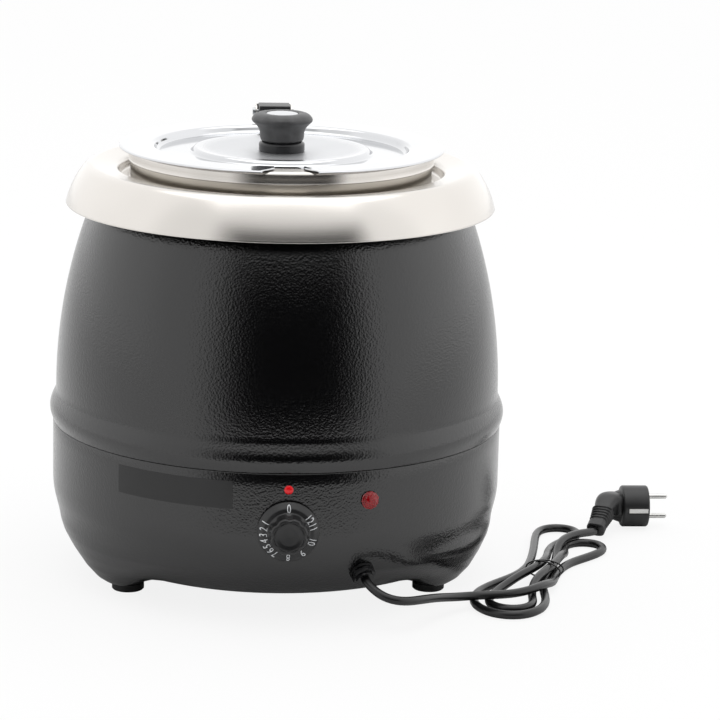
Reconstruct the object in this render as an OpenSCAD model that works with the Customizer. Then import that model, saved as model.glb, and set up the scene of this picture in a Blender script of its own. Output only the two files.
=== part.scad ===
// Free-standing electric soup kettle with a wet well, a lift-out inset pot
// and a hinged lid on a loose collar. Front is -Y, the lid hinge is at +Y,
// the rubber feet stand on Z = 0. Every module draws the kettle round the Z axis, and one
// placement at the end moves it back by axis_y to centre its bounding box.

/* [Base housing] */
// Outer radius of the straight wall of the base housing
base_r = 198.3; // [194:0.1:200]
// Height of the seam between base housing and body above the floor
seam_z = 137; // [134:0.5:142]
// Height where the straight wall starts to round in below
round_z = 85; // [83:0.5:87]
// Radius of that round, seen in section
round_r = 73.2; // [72:0.1:78]
// Height of the lower rim above the floor
rim_z = 23; // [21.5:0.5:25]
// Sheet thickness of the base housing
base_t = 1.5; // [1.2:0.1:2]
// Width of the turned-in lip that the base plate bears on
lip_w = 15; // [12:0.5:18]

/* [Body shell] */
// Largest radius of the barrel
barrel_r = 195.7; // [194:0.1:197]
// Height of the barrel's widest point above the seam
barrel_rise = 28; // [24:1:32]
// Radius of the barrel where its top shoulder starts
barrel_top_r = 159.1; // [158:0.1:162]
// How far the bead round the foot of the body stands out
bead_out = 3.8; // [3:0.1:4.5]
// Height of that bead
bead_h = 26; // [22:0.5:28]
// Height of the body's turned-in top lip above the seam
body_h = 210.5; // [207:0.5:214]
// Width of that lip
body_lip_w = 11; // [9:0.5:11.5]
// Sheet thickness of the body
body_t = 1.5; // [1.2:0.1:1.8]

/* [Water pan] */
// Inner radius of the water pan
pan_r = 134; // [133:0.5:136]
// Height of the underside of the water pan above the floor
pan_z = 118; // [116:0.5:122]
// Radius of the pan's bottom corner
pan_corner_r = 12; // [8:0.5:14]
// Width of the pan's flange
pan_flange_w = 21; // [19:0.5:22]
// Sheet thickness of the pan
pan_t = 1.2; // [1:0.1:1.5]

/* [Top ring] */
// Radius of the ring's lower hem
ring_r = 187.5; // [184:0.5:190]
// Height of the hem below the body's top lip
ring_drop = 18.5; // [17:0.5:20]
// Radius of the ring's lower curve, seen in section
ring_curve_a = 76.5; // [74:0.5:78]
// Radius of the ring's shoulder
ring_curve_b = 12; // [11:0.1:13]
// Radius of the roll at the ring's inner edge
ring_curve_c = 5; // [4:0.1:6]
// Radius of the well wall inside the ring
well_r = 141.5; // [141:0.1:142.5]
// Sheet thickness of the ring
ring_t = 1.2; // [1:0.1:1.4]
// Inner radius of the ledge that carries the inset pot
ledge_r = 128; // [127:0.5:128.5]
// Number of studs and nuts that hold the ring to the pan
ring_stud_count = 6; // [4:1:8]

/* [Inset pot] */
// Outer radius of the pot's neck above its shoulder
neck_r = 131.5; // [131:0.1:132]
// Outer radius of the pot's wall below its shoulder
pot_r = 124; // [121:0.5:125]
// Height of the pot's neck above the ledge
neck_h = 28.1; // [26:0.1:30]
// Depth of the pot's wall below the ledge
pot_depth = 193; // [185:1:194]
// Radius of the pot's bottom corner
pot_corner_r = 22; // [14:1:30]
// Sheet thickness of the pot
pot_t = 1.2; // [1:0.1:1.5]

/* [Lid collar] */
// Outer radius of the collar's skirt
collar_r = 133.2; // [133.2:0.1:134]
// Inner radius of the collar's flange
collar_mouth_r = 112; // [111:0.5:113]
// Height of the collar's skirt
collar_h = 11; // [10:0.5:12]
// Sheet thickness of the collar
collar_t = 1; // [0.8:0.1:1.1]

/* [Lid] */
// Radius of the lid's edge
lid_r = 141.7; // [141:0.1:142]
// Height of the hem at the lid's edge
lid_hem = 2.5; // [2:0.1:3]
// Radius of the step inside the lid's flange
step_r = 110.6; // [109:0.1:110.8]
// Depth of the sunken panel
panel_drop = 6.5; // [5:0.1:7]
// Radius of the raised centre disc
disc_r = 77; // [74:0.5:80]
// Height of the centre disc's edge above the panel
disc_rise = 4.4; // [3:0.1:5]
// Fall of the centre disc towards the knob
disc_dish = 3; // [2:0.1:4]
// Sheet thickness of the lid
lid_t = 1; // [0.8:0.1:1.2]
// Width of the ladle notch at its inner end
notch_w = 25; // [20:0.5:30]
// Width of the ladle notch at the lid's edge
notch_mouth_w = 47; // [40:0.5:54]
// Distance from the lid's centre to the notch's inner end
notch_r = 79; // [79:0.5:86]
// Distance from the lid's centre to where the notch starts to flare
flare_r = 122; // [114:1:128]

/* [Lid knob] */
// Largest radius of the knob
knob_r = 26.7; // [25:0.1:28]
// Height of the knob above its collar
knob_h = 25; // [23:0.5:27]
// Radius of the knob's collar
knob_collar_r = 20; // [18.5:0.1:21]
// Height of the knob's collar
knob_collar_h = 8.5; // [7:0.5:10]
// Radius of the metal disc in the top of the knob
insert_r = 14; // [12:0.5:15]
// Diameter of the knob's screw
knob_screw_d = 5; // [4:0.5:6]

/* [Lid hinge] */
// Distance from the kettle's axis to the hinge pin
hinge_y = 142; // [141.5:0.5:144]
// Height of the hinge pin above the lid's edge
hinge_rise = 8; // [7.5:0.5:9]
// Width of the hinge block
block_w = 28.4; // [26:0.1:30]
// Length of the hinge block in front of the pin
block_front = 22; // [18:0.5:24]
// Diameter of the hinge pin
pin_d = 4; // [3:0.5:5]
// Sheet thickness of the hinge bracket
ear_t = 1.2; // [1:0.1:1.6]

/* [Dial] */
// Height of the dial's centre above the floor
dial_z = 88; // [86:0.5:90]
// Radius of the dial's skirt
skirt_r = 26; // [24:0.5:28]
// Depth of the dial's skirt
skirt_h = 6; // [5:0.5:7]
// Radius of the dial's grip
grip_r = 17; // [15:0.5:18]
// Depth of the dial's grip
grip_h = 12; // [10:0.5:16]
// Number of finger flutes round the grip
flute_count = 8; // [6:1:12]
// Diameter of the thermostat's shaft
shaft_d = 6; // [5:0.5:8]

/* [Lamp and marker] */
// Angle of the lamp round the kettle from the front
lamp_az = 20.2; // [17:0.1:23]
// Height of the lamp above the floor
lamp_z = 111.5; // [108:0.5:114]
// Radius of the lamp's lens
lens_r = 7.8; // [7:0.1:9]
// Height of the marker above the dial's centre
marker_rise = 35.5; // [34:0.5:37]
// Radius of the marker
marker_r = 3.8; // [3:0.1:4.5]

/* [Bare label] */
// Angle where the bare label film starts, from the front
film_az = -45; // [-48:0.5:-42]
// Angle that the film covers
film_sweep = 31.5; // [28:0.5:33]
// Height of the film's lower edge above the floor
film_z = 105.5; // [103:0.5:108]
// Height of the film
film_h = 24; // [20:0.5:26]

/* [Feet] */
// Distance from the kettle's axis to each foot
foot_ring_r = 152; // [150:0.5:154]
// Radius of a rubber foot
foot_r = 14; // [12.5:0.5:16]
// Height of a rubber foot
foot_h = 8.5; // [7.5:0.5:9]
// How far a pod stands out past its foot at mid height
pod_r = 20; // [17:0.5:21]

/* [Heater] */
// Radius of the aluminium heater plate
heater_r = 98; // [92:1:100]
// Thickness of the heater plate
heater_t = 8; // [7:0.5:10]
// Radius of the heating element's ring
element_r = 76; // [70:1:80]
// Diameter of the heating element's tube
element_d = 8; // [6.5:0.5:8.5]
// Distance from the kettle's axis to each tie rod
rod_ring_r = 111; // [109:0.5:113]
// Diameter of the tie rods
rod_d = 6; // [5:0.5:7]

/* [Mains lead] */
// Diameter of the mains lead
cord_d = 7.5; // [7:0.1:8]
// Angle of the cord gland round the kettle from the front
gland_az = 20; // [18:0.5:21]
// Height of the cord gland on the shell above the floor
gland_z = 46.5; // [45:0.5:48]
// Radius of the gland's thread
gland_r = 8; // [7:0.5:9]
// Diameter of the plug's round body
plug_d = 39; // [37:0.5:40]
// Diameter of a plug pin
plug_pin_d = 4.8; // [4.6:0.1:5]
// Distance between the plug's pins
plug_pitch = 19; // [18:0.5:20]
// Length of a plug pin
plug_pin_l = 19; // [18:0.5:20]

/* [Fits] */
// Radial clearance of a running or screwed fit
fit = 0.05; // [0.03:0.01:0.1]
// Gap between pieces that are only laid on each other
rest_gap = 0.3; // [0.2:0.05:0.4]

/* [Hidden] */
$fn = 96;

// heights of the stack, each worked out from the one below
body_top_z = seam_z + body_h;
pan_top_z = body_top_z + pan_t;
ledge_z = pan_top_z + ring_t;
rim_top_z = ledge_z + neck_h;
collar_z = rim_top_z + collar_t;
lid_top_z = collar_z + rest_gap + lid_t;
panel_z = lid_top_z - panel_drop;
disc_z = panel_z + disc_rise;
knob_seat_z = disc_z - disc_dish;
hinge_z = lid_top_z + hinge_rise;
plate_t = 1.5;
plate_r = rim_r() - base_t - 0.4;
pan_floor_z = pan_z + pan_t;
heater_z = pan_z - heater_t;
shell_hole = fit + 0.2;
// rounding of the body's top edge, and height of the spigot that the body stands round
shoulder_r = 4;
spigot_h = 8;
spigot_gap = 0.6;
// radius of the barrel's curve in section, through its widest point and its top shoulder
barrel_fall = body_h - shoulder_r - barrel_rise;
barrel_curve_r = (pow(barrel_fall, 2) + pow(barrel_r - barrel_top_r, 2)) / (2 * (barrel_r - barrel_top_r));

// places of the three feet and of the three tie rods round the kettle, from the front
foot_az = [-60, 60, 180];
rod_az = [-80, 40, 160];

// route of the mains lead from the gland to the hank, and from the hank to the plug
inner_route = [[45, -95, 32.6], [45, -99, 33], [45.5, -106, 36], [47, -116, 43.5], [49, -127, 52],
    [52, -138, 58.5], [55, -149, 60.5], [58, -159.5, 57.3]];
cord_route = [[70.5, -192, 36.5], [76.5, -198, 32], [86, -201, 28.5], [98, -197, 26.5],
    [111, -185.5, 25], [124, -171, 21.5], [137, -156, 17], [149, -145, 13.4], [160, -138, 11.8]];
tail_route = [[287, 58, 6], [293, 62, 6.5], [299, 67, 7.4]];
// outline of the hank on the floor, round the lobe by the kettle and the one by the plug
hank_edge = [[158, -134], [159, -120], [166, -104], [180, -84], [200, -64], [220, -42], [228, -14],
    [230, 18], [236, 48], [246, 76], [258, 92], [271, 100], [284, 99], [290, 90], [290, 64], [302, 58],
    [308, 44], [305, 30], [292, 12], [276, -10], [262, -38], [250, -66], [242, -94], [238, -122],
    [231, -144], [221, -160], [207, -171], [192, -174], [176, -167], [164, -152]];
hank_h = 16;
hank_waist = [237, -50];
// plug: centre of its round body, and the two ends of its sleeve
plug_c = [345, 118, plug_d / 2];
sleeve_top = [314, 107, 24];
sleeve_end = [303, 72, 9];

// radius of the lower rim, where the round of the base housing ends
function rim_r() = base_r - round_r + sqrt(pow(round_r, 2) - pow(round_z - rim_z, 2));
// outer radius of the base housing at height z
function base_r_at(z) = z >= round_z ? base_r
    : base_r - round_r + sqrt(pow(round_r, 2) - pow(round_z - z, 2));
// outer radius of the barrel at height z
function barrel_r_at(z) = barrel_r - barrel_curve_r
    + sqrt(pow(barrel_curve_r, 2) - pow(z - seam_z - barrel_rise, 2));
// outer radius of the body over its bead, t running from 0 at the seam to 1 at the bead's top
function bead_r_at(t) = base_r + (barrel_r_at(seam_z + bead_h) - base_r) * t
    + bead_out * pow(sin(180 * pow(t, 0.9)), 1.3);
// points of an arc from angle a to angle b about c
function arc(c, r, a, b, n) = [for (i = [0:n]) let (t = a + (b - a) * i / n)
    [c[0] + r * cos(t), c[1] + r * sin(t)]];
function unit(v) = v / norm(v);
// direction of a path just before (k = -1) or just after (k = 1) its point i
function heading(p, i, k) = let (j = i + k < 0 || i + k > len(p) - 1 ? i - k : i + k)
    unit(i + k == j ? k * (p[j] - p[i]) : k * (p[i] - p[j]));
// point i of a path moved by t to its left, mitred where the path turns
function beside(p, i, t) = let (u = heading(p, i, -1), v = heading(p, i, 1), s = unit(u + v))
    p[i] + t / sqrt((1 + u * v) / 2) * [-s[1], s[0]];
// closed outline of a sheet of thickness t that lies to the left of a path
function sheet(p, t) = concat(p, [for (i = [len(p) - 1:-1:0]) beside(p, i, t)]);

// places its children at an angle round the kettle from the front, X pointing outwards
module at_az(az) {
    rotate([0, 0, az - 90]) children();
}

// points its children's Z axis along vector v from point p
module along(p, v) {
    translate(p) rotate([0, acos(v[2] / norm(v)), atan2(v[1], v[0])]) children();
}

// plain hexagon nut with a clear bore
module nut(bore_d, across, h) {
    difference() {
        cylinder(h = h, d = across / cos(30), $fn = 6);
        translate([0, 0, -1]) cylinder(h = h + 2, r = bore_d / 2 + fit);
    }
}

// round tube swept along points, as one closed solid
module sweep(p, r, sides) {
    n = len(p);
    rings = [for (i = [0:n - 1]) let (d = unit(p[min(i + 1, n - 1)] - p[max(i - 1, 0)]),
        s = unit(cross(d, abs(d[2]) > 0.9 ? [1, 0, 0] : [0, 0, 1])), u = cross(s, d))
        for (k = [0:sides - 1]) p[i] + r * (cos(360 * k / sides) * s + sin(360 * k / sides) * u)];
    walls = [for (i = [0:n - 2]) for (k = [0:sides - 1]) let (m = (k + 1) % sides)
        each [[i * sides + k, (i + 1) * sides + k, (i + 1) * sides + m],
            [i * sides + k, (i + 1) * sides + m, i * sides + m]]];
    first = [for (k = [0:sides - 1]) k];
    last = [for (k = [sides - 1:-1:0]) (n - 1) * sides + k];
    polyhedron(points = rings, faces = concat(walls, [first], [last]), convexity = 6);
}

// ---- base housing ----

// full form of the base housing with its joggled spigot, drawn inwards by inset
spigot_r = min(bead_r_at(0), bead_r_at(spigot_h / bead_h)) - body_t - spigot_gap;
module base_form(inset) {
    start = -asin((round_z - rim_z) / round_r);
    rotate_extrude() polygon(concat([[0, rim_z]],
        arc([base_r - round_r, round_z], round_r - inset, start, 0, 12),
        [[base_r - inset, seam_z - inset], [spigot_r - inset, seam_z - inset],
            [spigot_r - inset, seam_z + spigot_h + inset], [0, seam_z + spigot_h + inset]]));
}

// one pod that reaches from the round of the base housing down to its foot
module pod_form(inset) {
    reach = foot_ring_r + pod_r;
    hull() {
        translate([foot_ring_r, 0, foot_h + inset]) cylinder(h = 2, r = pod_r - 2 - inset, $fn = 32);
        for (side = [-1, 1]) {
            rotate([0, 0, 27 * side]) translate([reach - 4, 0, 47]) sphere(r = pod_r - inset, $fn = 24);
            rotate([0, 0, 12 * side]) translate([reach + 1, 0, 44]) sphere(r = pod_r - inset, $fn = 24);
        }
        translate([reach + 8, 0, 60]) sphere(r = pod_r - 6 - inset, $fn = 24);
    }
}

// frame of the gland: its seat on the base housing and its outward direction
gland_r_at = base_r_at(gland_z);
gland_fall = asin((round_z - gland_z) / round_r);
module at_gland() {
    at_az(gland_az) translate([gland_r_at, 0, gland_z]) rotate([0, 90 + gland_fall, 0]) children();
}

module base_shell() {
    color("#2b2c30") difference() {
        union() {
            difference() {
                base_form(0);
                // seat of the base plate
                translate([0, 0, rim_z - 1]) cylinder(h = plate_t + 1, r = plate_r + 0.4);
            }
            for (az = foot_az) at_az(az) pod_form(0);
        }
        difference() {
            base_form(base_t);
            // the lip that bears on the base plate stays
            translate([0, 0, rim_z]) difference() {
                cylinder(h = plate_t + base_t, r = rim_r());
                translate([0, 0, -1]) cylinder(h = 6, r = rim_r() - lip_w);
            }
        }
        for (az = foot_az) at_az(az) pod_form(base_t);
        for (az = foot_az) at_az(az) translate([foot_ring_r, 0, foot_h - 1])
            cylinder(h = base_t + 4, r = foot_screw_d / 2 + shell_hole);
        at_az(0) translate([base_r - 12, 0, dial_z]) rotate([0, 90, 0])
            cylinder(h = 20, r = bush_r + shell_hole);
        for (side = [-1, 1]) at_az(0) translate([base_r - 12, 0, dial_z + side * thermo_pitch])
            rotate([0, 90, 0]) cylinder(h = 20, r = thermo_screw_d / 2 + shell_hole);
        at_az(0) translate([base_r - 12, 0, dial_z + marker_rise]) rotate([0, 90, 0])
            cylinder(h = 20, r = marker_stem_r + fit);
        at_az(lamp_az) translate([base_r - 12, 0, lamp_z]) rotate([0, 90, 0])
            cylinder(h = 20, r = lamp_body_r + shell_hole);
        at_gland() translate([0, 0, -10]) cylinder(h = 20, r = gland_r + shell_hole);
    }
}
foot_screw_d = 5;
bush_r = 5;
thermo_pitch = 14;
thermo_screw_d = 4;
marker_stem_r = 1.5;
lamp_body_r = 6;

module base_plate() {
    color("#9a9c9e") difference() {
        translate([0, 0, rim_z]) cylinder(h = plate_t, r = plate_r);
        for (az = rod_az) at_az(az) translate([rod_ring_r, 0, rim_z - 1])
            cylinder(h = plate_t + 2, r = rod_d / 2 + shell_hole);
        for (az = foot_az) at_az(az) pod_form(-0.4);
        // vent slots round the middle
        for (k = [0:11]) rotate([0, 0, k * 30]) translate([40, -2.5, rim_z - 1]) cube([30, 5, plate_t + 2]);
        translate([earth_p[0], earth_p[1], rim_z - 1]) cylinder(h = plate_t + 2, r = 2 + fit);
    }
}
earth_p = [-60, -95];

module rubber_feet() {
    color("#1a1a1b") for (az = foot_az) at_az(az) translate([foot_ring_r, 0, 0]) difference() {
        rotate_extrude() polygon([[0, 0], [foot_r - 1, 0], [foot_r, 1], [foot_r, foot_h - 2.2],
            [foot_r - 0.9, foot_h - 1.7], [foot_r - 0.9, foot_h - 1.2], [foot_r, foot_h - 0.7],
            [foot_r, foot_h], [0, foot_h]]);
        translate([0, 0, -1]) cylinder(h = 4.5, r = foot_screw_d + 0.8);
        translate([0, 0, -1]) cylinder(h = foot_h + 2, r = foot_screw_d / 2 + fit);
    }
}

module foot_screws() {
    color("#b9bbbd") for (az = foot_az) at_az(az) translate([foot_ring_r, 0, 0.8]) difference() {
        union() {
            cylinder(h = 2.7, r = foot_screw_d);
            cylinder(h = foot_h + base_t + 5, r = foot_screw_d / 2);
        }
        translate([-3, -0.6, -1]) cube([6, 1.2, 2]);
    }
}

module foot_nuts() {
    color("#b9bbbd") for (az = foot_az) at_az(az)
        translate([foot_ring_r, 0, foot_h + base_t]) nut(foot_screw_d, 8, 4);
}

// ---- body, water pan and ring ----

// outside of the body from its lower edge up: bead, then barrel
body_path = let (top = seam_z + bead_h, end = body_top_z - shoulder_r) concat(
    [for (i = [0:12]) [bead_r_at(i / 12), seam_z + bead_h * i / 12]],
    [for (i = [1:16]) let (z = top + (end - top) * i / 16) [barrel_r_at(z), z]],
    arc([barrel_r_at(end) - shoulder_r, end], shoulder_r, 22, 90, 4));

module body_shell() {
    last = body_path[len(body_path) - 1];
    color("#232427") rotate_extrude()
        polygon(sheet(concat(body_path, [[last[0] - body_lip_w, body_top_z]]), body_t));
}
body_lip_r = body_path[len(body_path) - 1][0] - body_lip_w;

module water_pan() {
    path = concat([[0, pan_z]], arc([pan_r + pan_t - pan_corner_r, pan_z + pan_corner_r],
        pan_corner_r, -90, 0, 6), [[pan_r + pan_t, body_top_z], [pan_r + pan_flange_w, body_top_z]]);
    color("#b4b7ba") difference() {
        union() {
            rotate_extrude() polygon(sheet(path, pan_t));
            for (az = rod_az) at_az(az) translate([rod_ring_r, 0, pan_z - 8]) cylinder(h = 8.5, r = 7);
            translate([0, 0, clamp_z - 8]) cylinder(h = pan_z - clamp_z + 8.5, r = clamp_stud_r);
        }
        for (az = rod_az) at_az(az) translate([rod_ring_r, 0, pan_z - 9])
            cylinder(h = 8, r = rod_d / 2 + fit);
        for (k = [0:ring_stud_count - 1]) rotate([0, 0, 360 / ring_stud_count * (k + 0.5)])
            translate([stud_ring_r, 0, body_top_z - 1]) cylinder(h = pan_t + 2, r = ring_stud_r + shell_hole);
    }
}
clamp_stud_r = 3;
ring_stud_r = 2;
stud_ring_r = pan_r + pan_t + 4.2;

// outside of the ring from its hem up over the dome, down the well wall and along the ledge
hem_z = body_top_z - ring_drop;
ring_lean = 13;
ring_mid = 38;
// how steeply the ring's top falls towards the well
ring_fall = 8;
ring_ca = [ring_r - ring_curve_a * cos(ring_lean), hem_z - ring_curve_a * sin(ring_lean)];
ring_pb = [ring_ca[0] + ring_curve_a * cos(ring_mid), ring_ca[1] + ring_curve_a * sin(ring_mid)];
ring_cb = [ring_pb[0] - ring_curve_b * cos(ring_mid), ring_pb[1] - ring_curve_b * sin(ring_mid)];
ring_crest = ring_cb + ring_curve_b * [-sin(ring_fall), cos(ring_fall)];
ring_cc = [well_r + ring_curve_c, ring_crest[1] - ring_curve_c * cos(ring_fall)
    - (ring_crest[0] - well_r - ring_curve_c * (1 - sin(ring_fall))) * tan(ring_fall)];
ring_path = concat(arc(ring_ca, ring_curve_a, ring_lean, ring_mid, 5),
    arc(ring_cb, ring_curve_b, ring_mid + 8, 90 + ring_fall, 6),
    arc(ring_cc, ring_curve_c, 90 + ring_fall, 165, 4),
    [[well_r, ring_cc[1] - 2], [well_r, ledge_z], [ledge_r, ledge_z], [ledge_r, ledge_z - 5]]);

module top_ring() {
    color("#c9ccce") union() {
        rotate_extrude() polygon(sheet(ring_path, ring_t));
        for (k = [0:ring_stud_count - 1]) rotate([0, 0, 360 / ring_stud_count * (k + 0.5)])
            translate([stud_ring_r, 0, body_top_z - 6]) cylinder(h = 6 + pan_t + ring_t / 2, r = ring_stud_r);
    }
}

module ring_nuts() {
    color("#b9bbbd") for (k = [0:ring_stud_count - 1])
        rotate([0, 0, 360 / ring_stud_count * (k + 0.5)])
        translate([stud_ring_r, 0, body_top_z - 3.2]) rotate([0, 0, 30]) nut(2 * ring_stud_r, 7, 3.2);
}

module tie_rods() {
    color("#a9abad") for (az = rod_az) at_az(az) translate([rod_ring_r, 0, rim_z - 9])
        cylinder(h = pan_z - 1.5 - rim_z + 9, r = rod_d / 2);
}

module tie_nuts() {
    color("#b9bbbd") for (az = rod_az) at_az(az) translate([rod_ring_r, 0, rim_z - 5]) nut(rod_d, 10, 5);
}

// ---- heater and wiring inside the base ----

module heater_plate() {
    color("#c2c5c7") difference() {
        translate([0, 0, heater_z]) cylinder(h = heater_t, r = heater_r);
        translate([0, 0, heater_z]) rotate_extrude() translate([element_r, 0]) circle(r = element_d / 2 + fit, $fn = 32);
        translate([0, 0, heater_z - 1]) cylinder(h = heater_t + 2, r = clamp_stud_r + shell_hole);
    }
}

// nearly closed ring of tube with two ends that turn down
module heating_element() {
    gap = 22;
    color("#7d7a76") translate([0, 0, heater_z]) union() {
        rotate([0, 0, 90 + gap / 2]) rotate_extrude(angle = 360 - gap)
            translate([element_r, 0]) circle(r = element_d / 2, $fn = 32);
        for (side = [-1, 1]) rotate([0, 0, 90 + side * gap / 2]) {
            translate([element_r, 0, 0]) sphere(r = element_d / 2, $fn = 32);
            translate([element_r, 0, -26]) cylinder(h = 26, r = element_d / 2, $fn = 32);
            translate([element_r, 0, -34]) cylinder(h = 9, r = 1.5);
        }
    }
}
clamp_z = heater_z - element_d / 2;

module element_clamp() {
    color("#aeb1b4") difference() {
        translate([-(element_r + 8), -11, clamp_z - 2]) cube([2 * (element_r + 8), 22, 2]);
        translate([0, 0, clamp_z - 3]) cylinder(h = 4, r = clamp_stud_r + shell_hole);
    }
}

module clamp_nut() {
    color("#b9bbbd") translate([0, 0, clamp_z - 2 - 5]) nut(2 * clamp_stud_r, 10, 5);
}

// capillary thermostat with a round boss that meets the inside of the shell
module thermostat_body() {
    back = base_r - 42;
    front = base_r - 6;
    color("#d8d6cf") at_az(0) difference() {
        union() {
            translate([back, -20, dial_z - 18]) cube([front - back, 40, 36]);
            translate([front - 1, 0, dial_z]) rotate([0, 90, 0])
                cylinder(h = base_r - base_t - rest_gap - front + 1, r = bush_r + 3);
            for (side = [-1, 1]) translate([front - 1, 0, dial_z + side * thermo_pitch]) rotate([0, 90, 0])
                cylinder(h = base_r_at(dial_z + side * thermo_pitch) - base_t - 0.6 - front + 1,
                    r = thermo_screw_d / 2 + 1.6);
        }
        translate([back + 10, 0, dial_z]) rotate([0, 90, 0]) cylinder(h = 50, r = shaft_d / 2 + fit);
        for (side = [-1, 1]) translate([front - 12, 0, dial_z + side * thermo_pitch]) rotate([0, 90, 0])
            cylinder(h = 40, r = thermo_screw_d / 2 + fit);
    }
}

module thermostat_screws() {
    color("#b9bbbd") at_az(0) for (side = [-1, 1]) {
        // the head meets the wall first at its upper edge
        face = base_r_at(dial_z + side * thermo_pitch + thermo_screw_d / 2 + 1.5) + 0.1;
        translate([face, 0, dial_z + side * thermo_pitch]) rotate([0, 90, 0]) difference() {
            union() {
                cylinder(h = 2, r = thermo_screw_d / 2 + 1.5);
                translate([0, 0, -12]) cylinder(h = 13, r = thermo_screw_d / 2);
            }
            translate([-0.5, -3, 1.2]) cube([1, 6, 2]);
        }
    }
}

// sensing bulb against the pan's underside, with its capillary down to the thermostat
module sensing_bulb() {
    z = pan_z - bulb_r - 0.2;
    y0 = -(rod_ring_r + 8);
    back = -(base_r - 42);
    color("#b87333") union() {
        translate([-40, y0, z]) rotate([0, 90, 0]) cylinder(h = 80, r = bulb_r);
        sweep([[40, y0, z], [46, y0, z], [52, y0 - 4, z - 2], [52, y0 - 14, z - 8],
            [44, y0 - 20, z - 12], [30, y0 - 22, z - 14], [14, y0 - 24, dial_z + 12],
            [8, back + 6, dial_z + 9], [8, back, dial_z + 9]], 1, 8);
    }
}
bulb_r = 3;

module bulb_clip() {
    z = pan_z - bulb_r - 0.2;
    color("#aeb1b4") translate([-6, -(rod_ring_r + 8), z]) rotate([0, 90, 0]) difference() {
        union() {
            cylinder(h = 12, r = bulb_r + 1);
            translate([-(bulb_r + 0.2), -(bulb_r + 5), 0]) cube([1, 2 * bulb_r + 10, 12]);
        }
        translate([0, 0, -1]) cylinder(h = 14, r = bulb_r + fit);
        translate([-20 - bulb_r - 0.2, -20, -1]) cube([20, 40, 14]);
    }
}

// over-temperature disc thermostat clamped under the heater plate
module thermal_cutout() {
    color("#1d1d1e") translate([0, 45, heater_z]) union() {
        translate([0, 0, -4]) cylinder(h = 4, r = 9);
        translate([0, 0, -12]) cylinder(h = 8.5, r = 8);
        for (side = [-1, 1]) translate([side * 5 - 0.4, -3, -20]) cube([0.8, 6, 9]);
    }
}

block_p = [45, -86];
module terminal_block() {
    color("#e4e2dc") translate([block_p[0], block_p[1], rim_z + plate_t]) difference() {
        translate([-21, -9, 0]) cube([42, 18, 16]);
        for (k = [-1:1]) translate([k * 13, -10, 8]) rotate([-90, 0, 0]) cylinder(h = 20, r = 2.2);
        for (k = [-1:1]) translate([k * 13, 0, 10]) cylinder(h = 8, r = 2.4);
    }
}

module earth_screw() {
    color("#b08d3c") translate([earth_p[0], earth_p[1], rim_z + plate_t]) difference() {
        union() {
            cylinder(h = 3, r = 4);
            translate([0, 0, -6]) cylinder(h = 7, r = 2);
        }
        translate([-4.5, -0.5, 2]) cube([9, 1, 2]);
    }
}

// insulated leads between the block, cut-out, element, thermostat, lamp and earth screw
module inner_leads() {
    z = rim_z + plate_t + 8;
    y = block_p[1] + 9;
    back = -(base_r - 42);
    color("#8c5a33") {
        sweep([[32, y, z], [32, y + 8, z + 1], [28, -58, z + 12], [16, -20, 60], [8, 20, 70],
            [5, 43, 78], [5, 45, heater_z - 20]], 1.4, 8);
        sweep([[-5, 45, heater_z - 20], [-5, 46, 80], [-8, 56, 70], [-13, 70, 64],
            [-14.5, element_y, 68], [-14.5, element_y, heater_z - 34]], 1.4, 8);
        sweep([[14.5, element_y, heater_z - 34], [14.5, element_y, 68], [20, 62, 62], [26, 20, 60],
            [22, -60, 66], [-4, -120, 76], [-12, back + 10, 80], [-12, back, 80]], 1.4, 8);
        sweep([[58, y, z], [58, y + 7, z + 2], [54, -64, z + 14], [40, -68, 56], [24, -92, 60],
            [12, -130, 72], [6, back + 8, 80], [6, back, 80]], 1.4, 8);
        sweep([[45, y, z], [45, y + 6, z], [36, -64, z - 1], [0, -60, z - 2], [-44, -78, z - 2],
            [-58, -91, z - 1], [earth_p[0], earth_p[1], z - 2], [earth_p[0], earth_p[1], z - 5]], 1.4, 8);
        for (side = [-1, 1]) let (e = lamp_tab(side)) sweep([e, e + [-3, 7, -1], [58 + 5 * side, -138, 96],
            [52 + 5 * side, -112, 76], [45 + 13 * side, block_p[1], 58], [45 + 13 * side, block_p[1], 40.5]],
            1.1, 8);
    }
}
element_y = element_r * cos(11);
// inner end of one of the lamp's two tabs
function lamp_tab(side) = let (r = base_r + 0.15 - 34, a = lamp_az - 90)
    [r * cos(a) - side * 3 * sin(a), r * sin(a) + side * 3 * cos(a), lamp_z];

// ---- lamp, marker, film, gland ----

module lamp_lens() {
    color("#b01020") at_az(lamp_az) translate([base_r + 0.15, 0, lamp_z]) rotate([0, 90, 0]) union() {
        cylinder(h = 2.2, r = lens_r, $fn = 12);
        translate([0, 0, 2.2]) cylinder(h = 2.4, r1 = lens_r, r2 = lens_r * 0.8, $fn = 12);
        translate([0, 0, 4.6]) cylinder(h = 1.6, r1 = lens_r * 0.8, r2 = lens_r * 0.42, $fn = 12);
    }
}

module lamp_body() {
    color("#c8c4bb") at_az(lamp_az) translate([base_r + 0.15, 0, lamp_z]) rotate([0, 90, 0]) union() {
        translate([0, 0, -26]) cylinder(h = 26, r = lamp_body_r);
        for (side = [-1, 1]) translate([-0.4, side * 3 - 1.5, -34]) cube([0.8, 3, 9]);
    }
}

module lamp_nut() {
    color("#d8d6cf") at_az(lamp_az) translate([base_r - base_t - 0.5 - 3, 0, lamp_z])
        rotate([0, 90, 0]) difference() {
            cylinder(h = 3, r = lamp_body_r + 3);
            translate([0, 0, -1]) cylinder(h = 5, r = lamp_body_r + fit);
        }
}

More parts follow.
